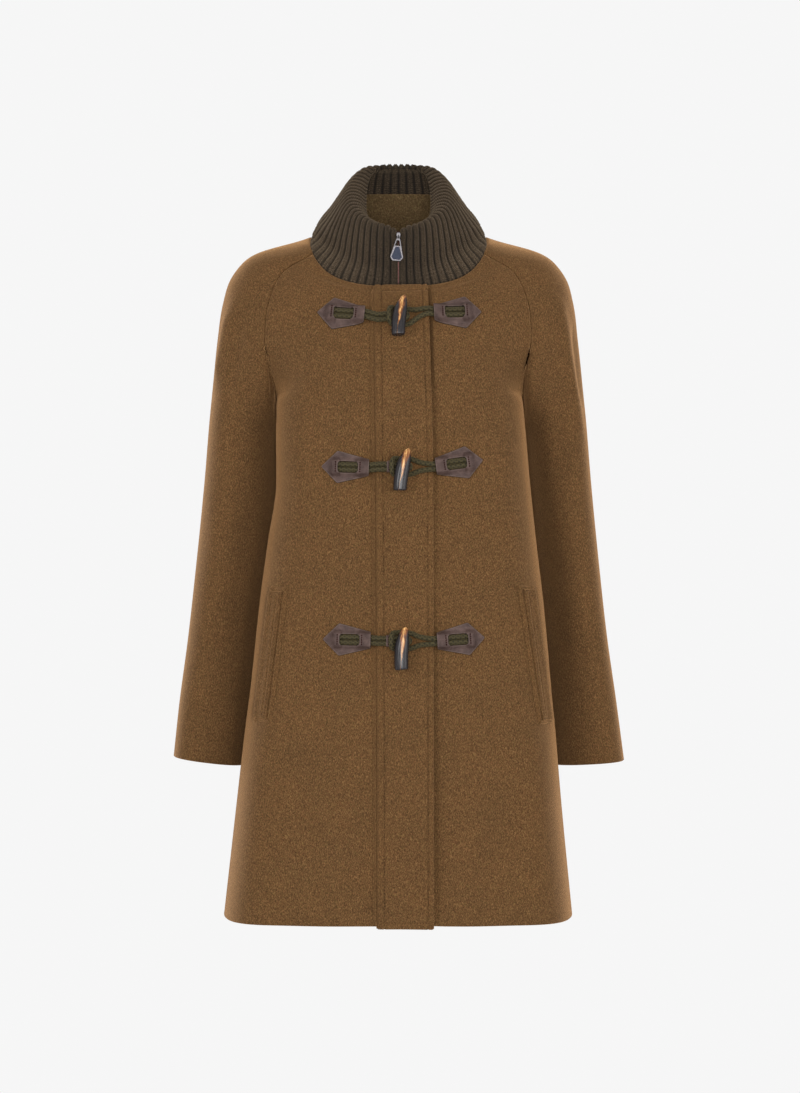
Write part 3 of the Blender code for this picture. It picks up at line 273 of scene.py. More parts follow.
def at_marks(line, marks):
    """Points of a line where the walked way reaches the marks."""
    lengths = walked(line)
    return np.stack([np.interp(marks, lengths, line[:, i]) for i in range(3)], -1)


def even_stations(points, spacing):
    """Station numbers, about `spacing` apart, along a line of points given at even stations."""
    lengths = walked(points)
    count = max(2, int(round(lengths[-1] / spacing)))
    return np.interp(np.linspace(0.0, lengths[-1], count + 1), lengths, np.arange(len(points)))


# %% [markdown]
# ## Fronts and back as curved surfaces
# At each level a panel is one Bezier curve from the centre line to the seam. It leaves the centre
# level and arrives at the seam in the direction the sleeve takes over, so body and sleeve meet
# without a step. A grid of such curves could also be lofted by hand from many points, but then
# every change of size would mean moving hundreds of them.

# %% Panels
def edge_point(table, sign, s):
    x = np.where(sign > 0, column(table, "left_x", s), column(table, "right_x", s)) * sign
    return np.stack([x, column(table, "edge_y", s), column(table, "edge_z", s)], -1)


def edge_direction(table, sign, s):
    back = 1.0 if table is FRONT else -1.0
    turn = np.radians(column(table, "turn", s))
    return unit(np.stack([sign * np.cos(turn), back * np.sin(turn), column(table, "rise", s)], -1))


def panel_point(table, sign, u, s):
    """Outer face of a front or the back: u from the middle (0) to the outer edge (1)."""
    sign, u, s = np.broadcast_arrays(sign, np.asarray(u, float), np.asarray(s, float))
    nothing = np.zeros_like(s)
    middle = np.stack([nothing, column(table, "mid_y", s), column(table, "mid_z", s)], -1)
    edge = edge_point(table, sign, s)
    chord = np.linalg.norm(edge - middle, axis=-1)
    out = np.stack([sign * chord * column(table, "near", s), nothing, nothing], -1)
    arrive = edge_direction(table, sign, s) * (chord * column(table, "far", s))[..., None]
    u = u[..., None]
    v = 1.0 - u
    return (middle * v**3 + (middle + out) * 3 * v * v * u
            + (edge - arrive) * 3 * v * u * u + edge * u**3)


print("hem corner", panel_point(FRONT, 1.0, 1.0, float(HEM)).round(3))

# %% [markdown]
# ## The folds, placed one by one
# Heavy wool hangs almost flat. It has only a few soft troughs and ridges: fullness that falls
# from the shoulders, a drag below the arm and slow flares down to the hem. Each row below is one
# of them: the start, middle and end of its line, its half width and its height (a trough is
# below zero). The front shows them as the picture does, and the back has similar ones.
# A cloth simulation could make folds too, but not these folds in these places.

# %% Folds
Fold = namedtuple("Fold", "a1 z1 a2 z2 a3 z3 width height")
FRONT_FOLDS = [
    Fold(-0.150, -0.225, -0.128, -0.290, -0.112, -0.380, 0.017, 0.0016),
    Fold(-0.162, -0.560, -0.172, -0.700, -0.186, -0.860, 0.024, 0.0040),
    Fold(-0.122, -0.600, -0.130, -0.720, -0.142, -0.860, 0.026, -0.0035),
    Fold(-0.066, -0.640, -0.072, -0.740, -0.080, -0.860, 0.030, 0.0022),
    Fold(0.150, -0.230, 0.132, -0.285, 0.118, -0.370, 0.016, 0.0014),
    Fold(0.166, -0.580, 0.174, -0.700, 0.186, -0.860, 0.024, 0.0038),
    Fold(0.118, -0.560, 0.128, -0.700, 0.140, -0.860, 0.028, -0.0040),
    Fold(0.072, -0.600, 0.078, -0.720, 0.088, -0.860, 0.026, 0.0026),
    Fold(0.110, -0.120, 0.098, -0.180, 0.094, -0.260, 0.030, -0.0014),
    Fold(-0.112, -0.130, -0.100, -0.190, -0.096, -0.270, 0.030, -0.0012),
]
BACK_FOLDS = [
    Fold(-0.148, -0.215, -0.120, -0.300, -0.108, -0.420, 0.022, 0.0030),
    Fold(0.146, -0.210, 0.124, -0.290, 0.104, -0.400, 0.022, 0.0026),
    Fold(-0.060, -0.090, -0.066, -0.240, -0.074, -0.420, 0.034, -0.0030),
    Fold(0.064, -0.100, 0.062, -0.260, 0.070, -0.430, 0.034, -0.0026),
    Fold(-0.150, -0.520, -0.160, -0.690, -0.178, -0.860, 0.026, 0.0050),
    Fold(-0.100, -0.500, -0.108, -0.680, -0.120, -0.860, 0.030, -0.0050),
    Fold(-0.040, -0.560, -0.042, -0.700, -0.046, -0.860, 0.032, 0.0034),
    Fold(0.030, -0.520, 0.034, -0.700, 0.040, -0.860, 0.032, -0.0034),
    Fold(0.092, -0.540, 0.100, -0.700, 0.112, -0.860, 0.028, 0.0046),
    Fold(0.146, -0.520, 0.156, -0.690, 0.170, -0.860, 0.026, -0.0040),
]
# On a sleeve the place across is a share of the way round: 0 inside, 0.25 front, 0.5 outside.
SLEEVE_FOLDS = {
    "right": [
        Fold(0.360, -0.075, 0.385, -0.144, 0.420, -0.200, 0.012, 0.0040),
        Fold(0.272, -0.078, 0.215, -0.108, 0.147, -0.136, 0.011, 0.0034),
        Fold(0.323, -0.090, 0.300, -0.146, 0.330, -0.225, 0.012, -0.0044),
        Fold(0.120, -0.160, 0.110, -0.185, 0.100, -0.225, 0.009, -0.0024),
        Fold(0.260, -0.250, 0.300, -0.340, 0.280, -0.450, 0.020, 0.0022),
        Fold(0.180, -0.300, 0.200, -0.420, 0.170, -0.560, 0.018, -0.0020),
        Fold(0.400, -0.330, 0.380, -0.450, 0.400, -0.600, 0.022, -0.0016),
        Fold(0.640, -0.080, 0.700, -0.140, 0.760, -0.210, 0.014, 0.0040),
        Fold(0.720, -0.090, 0.790, -0.150, 0.860, -0.200, 0.013, -0.0036),
        Fold(0.700, -0.300, 0.740, -0.400, 0.700, -0.520, 0.022, 0.0030),
    ],
    "left": [
        Fold(0.349, -0.070, 0.335, -0.150, 0.404, -0.280, 0.012, 0.0042),
        Fold(0.247, -0.075, 0.180, -0.115, 0.086, -0.156, 0.011, 0.0034),
        Fold(0.270, -0.086, 0.215, -0.120, 0.160, -0.170, 0.009, -0.0032),
        Fold(0.420, -0.100, 0.410, -0.160, 0.440, -0.230, 0.012, -0.0036),
        Fold(0.280, -0.170, 0.270, -0.240, 0.250, -0.330, 0.014, -0.0026),
        Fold(0.240, -0.300, 0.280, -0.400, 0.250, -0.520, 0.020, 0.0020),
        Fold(0.160, -0.330, 0.180, -0.450, 0.160, -0.600, 0.018, -0.0020),
        Fold(0.650, -0.075, 0.700, -0.135, 0.770, -0.205, 0.014, 0.0042),
        Fold(0.730, -0.085, 0.800, -0.145, 0.870, -0.200, 0.013, -0.0034),
        Fold(0.690, -0.320, 0.730, -0.430, 0.700, -0.540, 0.022, 0.0030),
    ],
}


def relief(folds, a, z, reach=1.0):
    """Height of the folds at (a, z); reach turns a into metres."""
    height = np.zeros(np.broadcast(a, z).shape)
    for fold in folds:
        nearest = np.full(height.shape, 1e9)
        along = np.zeros(height.shape)
        for t in np.linspace(0.0, 1.0, 25):
            v = 1.0 - t
            fa = fold.a1 * v * v + (4 * fold.a2 - fold.a1 - fold.a3) * v * t + fold.a3 * t * t
            fz = fold.z1 * v * v + (4 * fold.z2 - fold.z1 - fold.z3) * v * t + fold.z3 * t * t
            gap = ((a - fa) * reach) ** 2 + (z - fz) ** 2
            closer = gap < nearest
            nearest = np.where(closer, gap, nearest)
            along = np.where(closer, t, along)
        ends = ramp(0.0, 0.3, along) * (ramp(1.0, 0.7, along) if fold.z3 > -0.85 else 1.0)
        height += fold.height * ends * np.exp(-nearest / fold.width**2)
    return height


print("folds", len(FRONT_FOLDS), len(BACK_FOLDS), len(SLEEVE_FOLDS["left"]))

# %% [markdown]
# ## From a grid of points to a piece of cloth
# A coat panel is one layer of thick felt, so each piece is a thin closed shell: the outer face,
# the same grid again one cloth's thickness further in, and a rounded rim that joins the two. The
# Solidify modifier would do nearly the same, but with a square rim.

# %% Meshes from grids
CLOTH, KNIT = 0.0025, 0.0055


def grid_quads(rows, columns, closed, start, flip):
    i = np.arange(rows - 1)[:, None]
    j = np.arange(columns if closed else columns - 1)[None, :]
    k = (j + 1) % columns
    corners = [i * columns + j, i * columns + k, (i + 1) * columns + k, (i + 1) * columns + j]
    quads = np.stack(np.broadcast_arrays(*corners), -1).reshape(-1, 4) + start
    return quads[:, ::-1] if flip else quads


def outward(points, axis, closed=False):
    """Normals of a grid, away from the point axis, and whether its quads must be turned."""
    if closed:
        across = np.roll(points, -1, axis=1) - np.roll(points, 1, axis=1)
    else:
        across = np.gradient(points, axis=1)
    normal = unit(np.cross(across, np.gradient(points, axis=0)))
    if np.sum(normal * (points - np.asarray(axis))) < 0.0:
        return -normal, True
    return normal, False


def as_piece(name, mesh, material, body, sharp=None):
    """A smooth object made of a mesh, riding on a body; sharp is the angle of a hard edge."""
    mesh.shade_smooth()
    if sharp is not None:
        mesh.set_sharp_from_angle(angle=math.radians(sharp))
    mesh.materials.clear()
    mesh.materials.append(material)
    thing = bpy.data.objects.new(name, mesh)
    show(thing)
    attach(thing, body)
    return thing


def make_piece(name, points, faces, material, uv=None, sharp=None):
    mesh = bpy.data.meshes.new(name)
    mesh.from_pydata(points.tolist(), [], faces if isinstance(faces, list) else faces.tolist())
    if uv is not None:
        layer = mesh.uv_layers.new(name="UVMap")
        index = np.zeros(len(mesh.loops), int)
        mesh.loops.foreach_get("vertex_index", index)
        layer.data.foreach_set("uv", uv[index].ravel())
    return as_piece(name, mesh, material, "coat", sharp)


def rims(rows, columns, closed):
    """Each border of a grid as (vertex, its neighbour inside), in the order of the quads."""
    at = np.arange(rows * columns).reshape(rows, columns)
    if closed:
        return [(at[0], at[1]), (at[-1][::-1], at[-2][::-1])]
    loop = np.concatenate([at[0], at[1:, -1], at[-1, -2::-1], at[-2:0:-1, 0]])
    inside = np.concatenate([at[1], at[1:, -2], at[-2, -2::-1], at[-2:0:-1, 1]])
    return [(loop, inside)]


def cloth(name, outer, inner, flip, material, closed=False, uv=None, rounds=1):
    """A closed shell between two grids, with a rounded rim of `rounds` rows of points."""
    rows, columns = outer.shape[:2]
    count = rows * columns
    flat_outer, flat_inner = outer.reshape(-1, 3), inner.reshape(-1, 3)
    points, sources = [flat_outer, flat_inner], [np.arange(count), np.arange(count)]
    quads = [grid_quads(rows, columns, closed, 0, flip),
             grid_quads(rows, columns, closed, count, not flip)]
    used = 2 * count
    for loop, inside in rims(rows, columns, closed):
        centre = (flat_outer[loop] + flat_inner[loop]) * 0.5
        half = (flat_outer[loop] - flat_inner[loop]) * 0.5
        push = unit(flat_outer[loop] - flat_outer[inside])
        push *= np.linalg.norm(half, axis=1)[:, None] * 0.7
        strips = [loop]
        for turn in np.pi * np.arange(1, rounds + 1) / (rounds + 1):
            points.append(centre + half * np.cos(turn) + push * np.sin(turn))
            sources.append(loop)
            strips.append(used + np.arange(len(loop)))
            used += len(loop)
        strips.append(loop + count)
        for near, far in zip(strips, strips[1:]):
            strip = np.stack([np.roll(near, -1), near, far, np.roll(far, -1)], -1)
            quads.append(strip[:, ::-1] if flip else strip)
    whole_uv = None if uv is None else uv.reshape(-1, 2)[np.concatenate(sources)]
    return make_piece(name, np.concatenate(points), np.concatenate(quads), material, whole_uv)


def triangles(thing):
    return sum(len(face.vertices) - 2 for face in thing.data.polygons)


def area_of(outer, closed=False):
    """Area of a grid of points, in square metres, as if it were unpicked and laid flat."""
    ring = np.concatenate([outer, outer[:, :1]], axis=1) if closed else outer
    a, b = ring[:-1, :-1], ring[:-1, 1:]
    c, d = ring[1:, 1:], ring[1:, :-1]
    halves = (np.linalg.norm(np.cross(b - corner, d - corner), axis=-1) for corner in (a, c))
    return float(sum(half.sum() for half in halves) * 0.5)


# %% [markdown]
# ## Felted wool
# The cloth is a melton: woven, then felted and brushed until the weave is gone and short hairs
# lie over it. Three things make it: a colour that varies from fibre to fibre and in slow clouds, a
# bump fine enough to break up every highlight, and sheen, the light that short hairs catch at the
# edges of a form. A picture of wool could be wrapped on instead, but it would repeat and stretch.
# The helpers below add one node each, so a finish reads like a recipe.

# %% Wool
SOCKETS = {"colour": "Base Color", "roughness": "Roughness", "gloss": "Specular IOR Level",
           "metallic": "Metallic", "sheen": "Sheen Weight", "sheen_roughness": "Sheen Roughness",
           "sheen_tint": "Sheen Tint", "normal": "Normal"}
WHITE = (1.0, 1.0, 1.0)


def feed(socket, value):
    """Give a socket another node's output, a colour, or a plain number."""
    if isinstance(value, bpy.types.NodeSocket):
        socket.id_data.links.new(value, socket)
    else:
        socket.default_value = (*value, 1.0) if isinstance(value, tuple) else value


def new_material(name):
    """A material, and the two places that its textures can be read at: in metres, or on the UV map."""
    material = bpy.data.materials.new(name)
    material.use_nodes = True
    place = material.node_tree.nodes.new("ShaderNodeTexCoord").outputs
    return material, place["Object"], place["UV"]


def dress(material, **values):
    """Set the shader's sockets, by their plain names above."""
    shader = material.node_tree.nodes["Principled BSDF"]
    for name, value in values.items():
        feed(shader.inputs[SOCKETS[name]], value)
    return material


def node_after(source, kind, socket=0):
    """A new node that takes `source` in. A socket knows the tree it belongs to as its id_data."""
    node = source.id_data.nodes.new("ShaderNode" + kind)
    feed(node.inputs[socket], source)
    return node


def noise(place, scale, detail=2.0, rough=0.5):
    node = node_after(place, "TexNoise", "Vector")
    node.inputs["Scale"].default_value = scale
    node.inputs["Detail"].default_value = detail
    node.inputs["Roughness"].default_value = rough
    return node.outputs["Fac"]


def colour_ramp(value, *stops):
    """Colours by value. A stop is its place and a colour, or its place and a grey."""
    node = node_after(value, "ValToRGB")
    elements = node.color_ramp.elements
    while len(elements) < len(stops):
        elements.new(0.5)
    for element, (place, colour) in zip(elements, stops):
        element.position = place
        element.color = (*colour, 1.0) if isinstance(colour, tuple) else (colour, colour, colour, 1.0)
    return node.outputs["Color"]


def blend_colour(kind, amount, a, b):
    node = node_after(a, "Mix", 6)
    node.data_type = "RGBA"
    node.blend_type = kind
    feed(node.inputs["Factor"], amount)
    feed(node.inputs[7], b)
    return node.outputs[2]


def maths(operation, a, b=0.0, clamp=False):
    tree = (b if isinstance(a, float) else a).id_data
    node = tree.nodes.new("ShaderNodeMath")
    node.operation = operation
    node.use_clamp = clamp
    feed(node.inputs[0], a)
    feed(node.inputs[1], b)
    return node.outputs[0]


def bump(height, strength, distance, under=None):
    node = node_after(height, "Bump", "Height")
    node.inputs["Strength"].default_value = strength
    node.inputs["Distance"].default_value = distance
    if under is not None:
        feed(node.inputs["Normal"], under)
    return node.outputs["Normal"]


def stretched(place, scale):
    """A place drawn out along an axis, for fibres that lie one way."""
    mapping = node_after(place, "Mapping", "Vector")
    mapping.inputs["Scale"].default_value = scale
    return mapping.outputs["Vector"]


def wool_material(name, shade):
    def tinted(*colour):
        return tuple(a * b for a, b in zip(shade, colour))

    material, place, _ = new_material(name)
    fibre = noise(stretched(place, (1.0, 1.0, 0.45)), 980.0, 3.0, 0.75)
    clump = noise(place, 520.0, 2.0, 0.6)
    cloud = noise(place, 26.0, 3.0, 0.55)
    rust = noise(place, 900.0, 2.0, 0.5)
    grain = colour_ramp(fibre, (0.30, tinted(0.0212, 0.0098, 0.0034)), (0.50, tinted(0.0620, 0.0300, 0.0106)),
                        (0.72, tinted(0.1380, 0.0755, 0.0302)))
    for tone in (colour_ramp(rust, (0.34, (0.88, 0.98, 0.80)), (0.50, WHITE), (0.66, (1.12, 1.01, 0.98))),
                 colour_ramp(clump, (0.30, 0.91), (0.70, 1.08)),
                 colour_ramp(cloud, (0.30, (0.94, 0.95, 0.95)), (0.70, (1.05, 1.04, 1.03)))):
        grain = blend_colour("MULTIPLY", 1.0, grain, tone)
    pile = bump(clump, 0.40, 0.0010)
    return dress(material, colour=grain, roughness=0.95, gloss=0.12, sheen=0.34, sheen_roughness=0.40,
                 sheen_tint=(1.0, 0.54, 0.23), normal=bump(fibre, 0.65, 0.0005, pile))


wool = wool_material("felted_wool", WHITE)
# The inside copy is the same wool with a greyer, less red tint.
wool_inside = wool_material("felted_wool_inside", (0.78, 0.98, 1.16))
print("materials", wool.name, wool_inside.name)

# %% [markdown]
# ## The two fronts
# Each front runs from the zip to the raglan seam and the side seam. Where pieces are sewn
# together the cloth turns in, so the last few millimetres of each edge dip: that dip is what
# makes a seam readable. Two more troughs are pressed into the fronts, one below the placket's free
# edge and one where each pocket opens beside its welt, so the lines of both pieces come first.

# %% Line of the placket
Strip = namedtuple("Strip", "z sewn_x free_x lift")
PLACKET = [Strip(-0.0705, -0.0308, 0.0353, 0.0010), Strip(-0.16, -0.0296, 0.0380, 0.0006),
           Strip(-0.29, -0.0282, 0.0412, 0.0008), Strip(-0.44, -0.0272, 0.0416, 0.0012),
           Strip(-0.60, -0.0266, 0.0418, 0.0018), Strip(-0.74, -0.0262, 0.0419, 0.0028),
           Strip(-0.853, -0.0261, 0.0419, 0.0040)]


def strip_station(z):
    heights = [row.z for row in PLACKET]
    return np.interp(-np.asarray(z, float), [-h for h in heights], np.arange(len(heights)))


def placket_x(share, z):
    s = strip_station(np.clip(z, PLACKET[-1].z, PLACKET[0].z))
    sewn, free = column(PLACKET, "sewn_x", s), column(PLACKET, "free_x", s)
    return sewn + (free - sewn) * share, free - sewn


print("placket from", PLACKET[0].z, "to", PLACKET[-1].z)

# %% Lines of the pocket welts
Welt = namedtuple("Welt", "top_in top_out top_z low_in low_out low_z")
WELTS = {"right": Welt(-0.1404, -0.1549, -0.4464, -0.1593, -0.1743, -0.6041),
         "left": Welt(0.1509, 0.1635, -0.4439, 0.1742, 0.1850, -0.6066)}
SLOT, SLOT_HALF, SLOT_OFF = 0.0055, 0.0030, 0.0028    # the pocket's trough: depth, width, place


def pocket_slot(points, side):
    """Trough in a front where its pocket opens, just past the welt's outer edge."""
    welt, x, z = WELTS[side], points[..., 0], points[..., 2]
    share = (welt.top_z - z) / (welt.top_z - welt.low_z)
    edge = welt.top_out + (welt.low_out - welt.top_out) * share
    gap = (np.abs(x) - np.abs(edge) - SLOT_OFF) / SLOT_HALF
    return -SLOT * np.exp(-gap**2) * ramp(-0.01, 0.05, share) * ramp(1.01, 0.95, share)


print("welts", {side: round(welt.top_z - welt.low_z, 3) for side, welt in WELTS.items()}, "m long")

# %% Fronts
SEAM_DEPTH, SEAM_WIDTH, SEAM_GAP, PUCKER = 0.0020, 0.0014, 0.0002, 0.00030
TROUGH, TROUGH_HALF, TROUGH_OFF = 0.0068, 0.0032, 0.0010
FOLD_FREE = 0.02                          # how far from a seam the folds have their full height


def seam_dip(distance):
    return -SEAM_DEPTH * np.exp(-(distance / SEAM_WIDTH) ** 2)


def pucker(distance, z):
    """Small uneven waves beside a seam, where the thread has drawn the cloth up a little."""
    wave = np.sin(z / 0.0023 + 2.2 * np.sin(z / 0.0170)) + 0.6 * np.sin(z / 0.0061 + 1.0)
    return PUCKER * wave * np.exp(-distance / 0.006) * ramp(0.0, 0.0015, distance)


def along_rows(points):
    """Distance of every point of a grid from the start of its row."""
    step = np.linalg.norm(np.diff(points, axis=1), axis=-1)
    return np.concatenate([np.zeros((len(points), 1)), np.cumsum(step, axis=1)], axis=1)


NECK_S, SAMPLES, ROW_GAP = 0.03, 400, 0.0046    # first row of a panel, and how far apart its rows lie
PANEL_S = even_stations(panel_point(FRONT, 1.0, 0.9, np.linspace(NECK_S, HEM, SAMPLES)), ROW_GAP)
PANEL_S = NECK_S + PANEL_S / (SAMPLES - 1.0) * (HEM - NECK_S)
# Columns: few over the open field, close together where the pocket and the seam lie.
PANEL_U = np.concatenate([np.linspace(0.0, 0.16, 8)[:-1], np.linspace(0.16, 0.40, 26)[:-1],
                          np.linspace(0.40, 0.93, 60), 1.0 - 0.06 * np.linspace(1.0, 0.0, 12) ** 1.3])


def underlap(points):
    """Trough in the left front where the placket's free edge has pressed it for years."""
    x, z = points[..., 0], points[..., 2]
    gap = (x - placket_x(1.0, z)[0] - TROUGH_OFF) / TROUGH_HALF
    return -TROUGH * np.exp(-gap**2) * ramp(-0.066, -0.080, z)


def half_panel(table, folds, sign):
    """Outer and inner face of half a body panel, and whether its quads must be turned."""
    points = panel_point(table, sign, PANEL_U[None, :], PANEL_S[:, None])
    run = along_rows(points)
    to_seam = run[:, -1:] - run
    normal, flip = outward(points, (sign * 0.05, 0.0, -0.45))
    points[:, -1] -= unit(points[:, -1] - points[:, -2]) * SEAM_GAP
    height = seam_dip(to_seam) + pucker(to_seam, points[..., -1:, 2])
    height += ramp(0.0, FOLD_FREE, to_seam) * relief(folds, points[..., 0], points[..., 2])
    if table is FRONT:
        height += pocket_slot(points, "left" if sign > 0.0 else "right")
    if table is FRONT and sign > 0.0:
        height += underlap(points)
    outer = points + normal * height[..., None]
    return outer, outer - normal * CLOTH, flip


HALF_SLIT = 0.0030
fronts, flat_area = {}, {}
for side, sign in SIGN.items():
    outer, inner, flip = half_panel(FRONT, FRONT_FOLDS, sign)
    outer[:, 0, 0] = inner[:, 0, 0] = sign * HALF_SLIT
    name = "front_%s_cloth" % side
    fronts[side] = cloth(name, outer, inner, flip, wool)
    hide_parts("front_" + side)
    flat_area[name] = area_of(outer)
    print(name, triangles(fronts[side]), "triangles", round(flat_area[name], 3), "m2")

# %% [markdown]
# ## The back
# The back is one piece from shoulder seam to shoulder seam. It is two half panels, mirrored in
# name only: the two sides of a worn coat are never quite alike, so each half has its own table
# column and its own folds.

# %% Back
halves = {side: half_panel(BACK, BACK_FOLDS, sign) for side, sign in SIGN.items()}
outer, inner = (np.concatenate([halves["right"][face][:, :0:-1], halves["left"][face]], axis=1)
                for face in (0, 1))
back = cloth("back_cloth", outer, inner, outward(outer, (0.0, 0.0, -0.45))[1], wool)
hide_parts("back")
flat_area["back_cloth"] = area_of(outer)
print("back", triangles(back), "triangles", round(flat_area["back_cloth"], 3), "m2")

# %% [markdown]
# ## The raglan sleeves
# A raglan sleeve runs up to the neck: its head follows the front seam, crosses the shoulder along
# the neck and comes down the back seam. Below that it is a tube of rings. Lengthwise lines leave
# the seam in the plane of the panel and bend into the tube. Near the armpit the seam becomes a
# real crease, and the line leaves it freely.

# %% Sleeves
RING_SQUARE = 0.88                        # below 1 a sleeve is flatter in front than an ellipse
SEAM_SAMPLES = 281
# Below the armpit the inner line of a sleeve hangs behind the body's side: moved inward between
# the heights begin and done, and back between the two heights of BACK_BETWEEN.
Shift = namedtuple("Shift", "inward back begin done")
INNER_SHIFT = {"right": Shift(0.0044, 0.030, -0.212, -0.227),
               "left": Shift(0.0090, 0.045, -0.220, -0.262)}
BACK_BETWEEN = (-0.220, -0.262)


def seam_line(table, sign):
    stations = np.linspace(ARMPIT, 0.0, SEAM_SAMPLES)
    lengths = walked(edge_point(table, np.full(SEAM_SAMPLES, sign), stations))
    return stations, lengths / lengths[-1]


def neck_bridge(sign, t):
    """Neck seam over the shoulder, from the front raglan seam (0) to the back one (1)."""
    start, end = edge_point(FRONT, sign, 0.0), edge_point(BACK, sign, 0.0)
    top = SHOULDER * np.array([sign, 1.0, 1.0])
    leave = edge_direction(FRONT, sign, 0.0) * np.linalg.norm(top - start)
    arrive = edge_direction(BACK, sign, 0.0) * -np.linalg.norm(end - top)
    along = (end - start) * 0.5
    t = np.asarray(t, float)[..., None]
    return np.where(t < 0.5, hermite(start, leave, top, along, t * 2.0),
                    hermite(top, along, end, arrive, t * 2.0 - 1.0))


def armhole(sign, a):
    """Sleeve head at share a round the sleeve: place, way across the seam, way along, crease."""
    small = 1e-3
    if a <= SEAM_SHARE or a >= 1.0 - SEAM_SHARE:
        table = FRONT if a <= SEAM_SHARE else BACK
        share = a / SEAM_SHARE if a <= SEAM_SHARE else (1.0 - a) / SEAM_SHARE
        stations, lengths = seam_line(table, sign)
        s = float(np.interp(share, lengths, stations))
        along = edge_point(table, sign, max(0.0, s - small)) - edge_point(table, sign, s + small)
        crease = float(through(np.array(FALL), min(s, ARMPIT)))
        return edge_point(table, sign, s), edge_direction(table, sign, s), unit(along), crease
    t = (a - SEAM_SHARE) / (1.0 - 2.0 * SEAM_SHARE)
    along = neck_bridge(sign, min(1.0, t + small)) - neck_bridge(sign, max(0.0, t - small))
    down = unit(np.array([sign, 0.0, SHOULDER_SLOPE]))
    table = FRONT if t < 0.5 else BACK
    seam_way = unit(edge_point(table, sign, small * 10) - edge_point(table, sign, 0.0))
    share = float(ramp(0.0, 0.7, 1.0 - abs(2.0 * t - 1.0)))
    return neck_bridge(sign, t), unit(seam_way * (1.0 - share) + down * share), unit(along), 0.0


def sleeve_line(side, a):
    """The points of one lengthwise line of a sleeve, its slopes and the gaps between points."""
    sign = SIGN[side]
    head, across, along, crease = armhole(sign, a)
    points = [head]
    angle = 2.0 * math.pi * a
    swell, aside = (math.copysign(abs(way) ** RING_SQUARE, way)
                    for way in (math.sin(angle), math.cos(angle)))
    shift = INNER_SHIFT[side]
    for row in SLEEVE[side]:
        outer = np.array([sign * row.outer_x, 0.0, row.outer_z])
        inner_x = row.inner_x - shift.inward * float(ramp(shift.begin, shift.done, row.inner_z))
        inner_y = shift.back * float(ramp(*BACK_BETWEEN, row.inner_z))
        inner = np.array([sign * inner_x, inner_y, row.inner_z])
        depth = -swell * (row.front if swell > 0.0 else row.back)
        points.append((outer + inner) * 0.5 - (outer - inner) * 0.5 * aside
                      + np.array([0.0, depth, 0.0]))
    points = np.array(points)
    gaps = np.maximum(1e-4, np.linalg.norm(np.diff(points, axis=0), axis=1))
    normal = unit(np.cross(across, along))
    toward = points[1] - points[0]
    toward = toward - normal * np.dot(toward, normal) * (1.0 - crease)
    ways = np.diff(points, axis=0) / gaps[:, None]
    share = (gaps[:-1] / (gaps[:-1] + gaps[1:]))[:, None]
    slopes = np.concatenate([unit(toward)[None], ways[:-1] * (1.0 - share) + ways[1:] * share,
                             ways[-1:]])
    return points, slopes, gaps


def on_lines(lines, t):
    points, slopes, gaps = (np.stack(part) for part in zip(*lines))
    i = np.clip(t.astype(int), 0, gaps.shape[1] - 1)
    part = (t - i)[:, None, None]
    reach = gaps[:, i].T[..., None]
    points, slopes = points.transpose(1, 0, 2), slopes.transpose(1, 0, 2)
    return hermite(points[i], slopes[i] * reach, points[i + 1], slopes[i + 1] * reach, part)


SLEEVE_GIRTH, SLEEVE_COLUMNS = 0.36, 132
HEAD_ROWS = [0.006, 0.012, 0.018, 0.026]  # extra rows of points close to the armhole seam
for side, sign in SIGN.items():
    around = np.arange(SLEEVE_COLUMNS) / SLEEVE_COLUMNS
    lines = [sleeve_line(side, a) for a in around]
    longest = np.max([line[2] for line in lines], axis=0)
    places = np.concatenate([np.linspace(i, i + 1, max(2, int(gap / ROW_GAP)), endpoint=False)
                             for i, gap in enumerate(longest)] + [[float(len(longest))]])
    points = on_lines(lines, np.sort(np.concatenate([places, HEAD_ROWS])))
    points[0] += unit(points[1] - points[0]) * SEAM_GAP
    normal, flip = outward(points, (sign * 0.2, 0.0, -0.3), closed=True)
    from_head = along_rows(points.transpose(1, 0, 2)).T
    under = np.minimum(around, 1.0 - around)[None, :] * SLEEVE_GIRTH
    height = seam_dip(from_head) + 0.7 * seam_dip(under) + pucker(from_head, points[:1, :, 2] + 0.004)
    height += ramp(0.0, FOLD_FREE, from_head) * relief(
        SLEEVE_FOLDS[side], around[None, :], points[..., 2], SLEEVE_GIRTH)
    outer = points + normal * height[..., None]
    name = "sleeve_%s_cloth" % side
    cloth(name, outer, outer - normal * CLOTH, flip, wool, closed=True)
    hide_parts("sleeve_" + side)
    flat_area[name] = area_of(outer, closed=True)

# %% [markdown]
# ## Placing things on the fronts
# The placket, the welts, the patches and the cords all lie on the fronts. Each is drawn flat, in
# x and z as seen from the front, and then laid on the curved cloth: this helper looks for the
# point of the front that has a given x and z and steps off along its normal. In Blender's own
# tools a Shrinkwrap modifier does this job, but here the exact height over the cloth matters.

# %% Placing on the fronts
LIE = 0.0006              # air between a piece and the cloth that it lies on
SEAM_LINE, SEAM_SLOPE, THIN = 0.0010, 0.0050, 0.0003  # a sewn edge: its valley, its slope, its lip
TOP_Z, HEM_Z = FRONT[0].mid_z, FRONT[HEM].mid_z
STEP = 1e-4


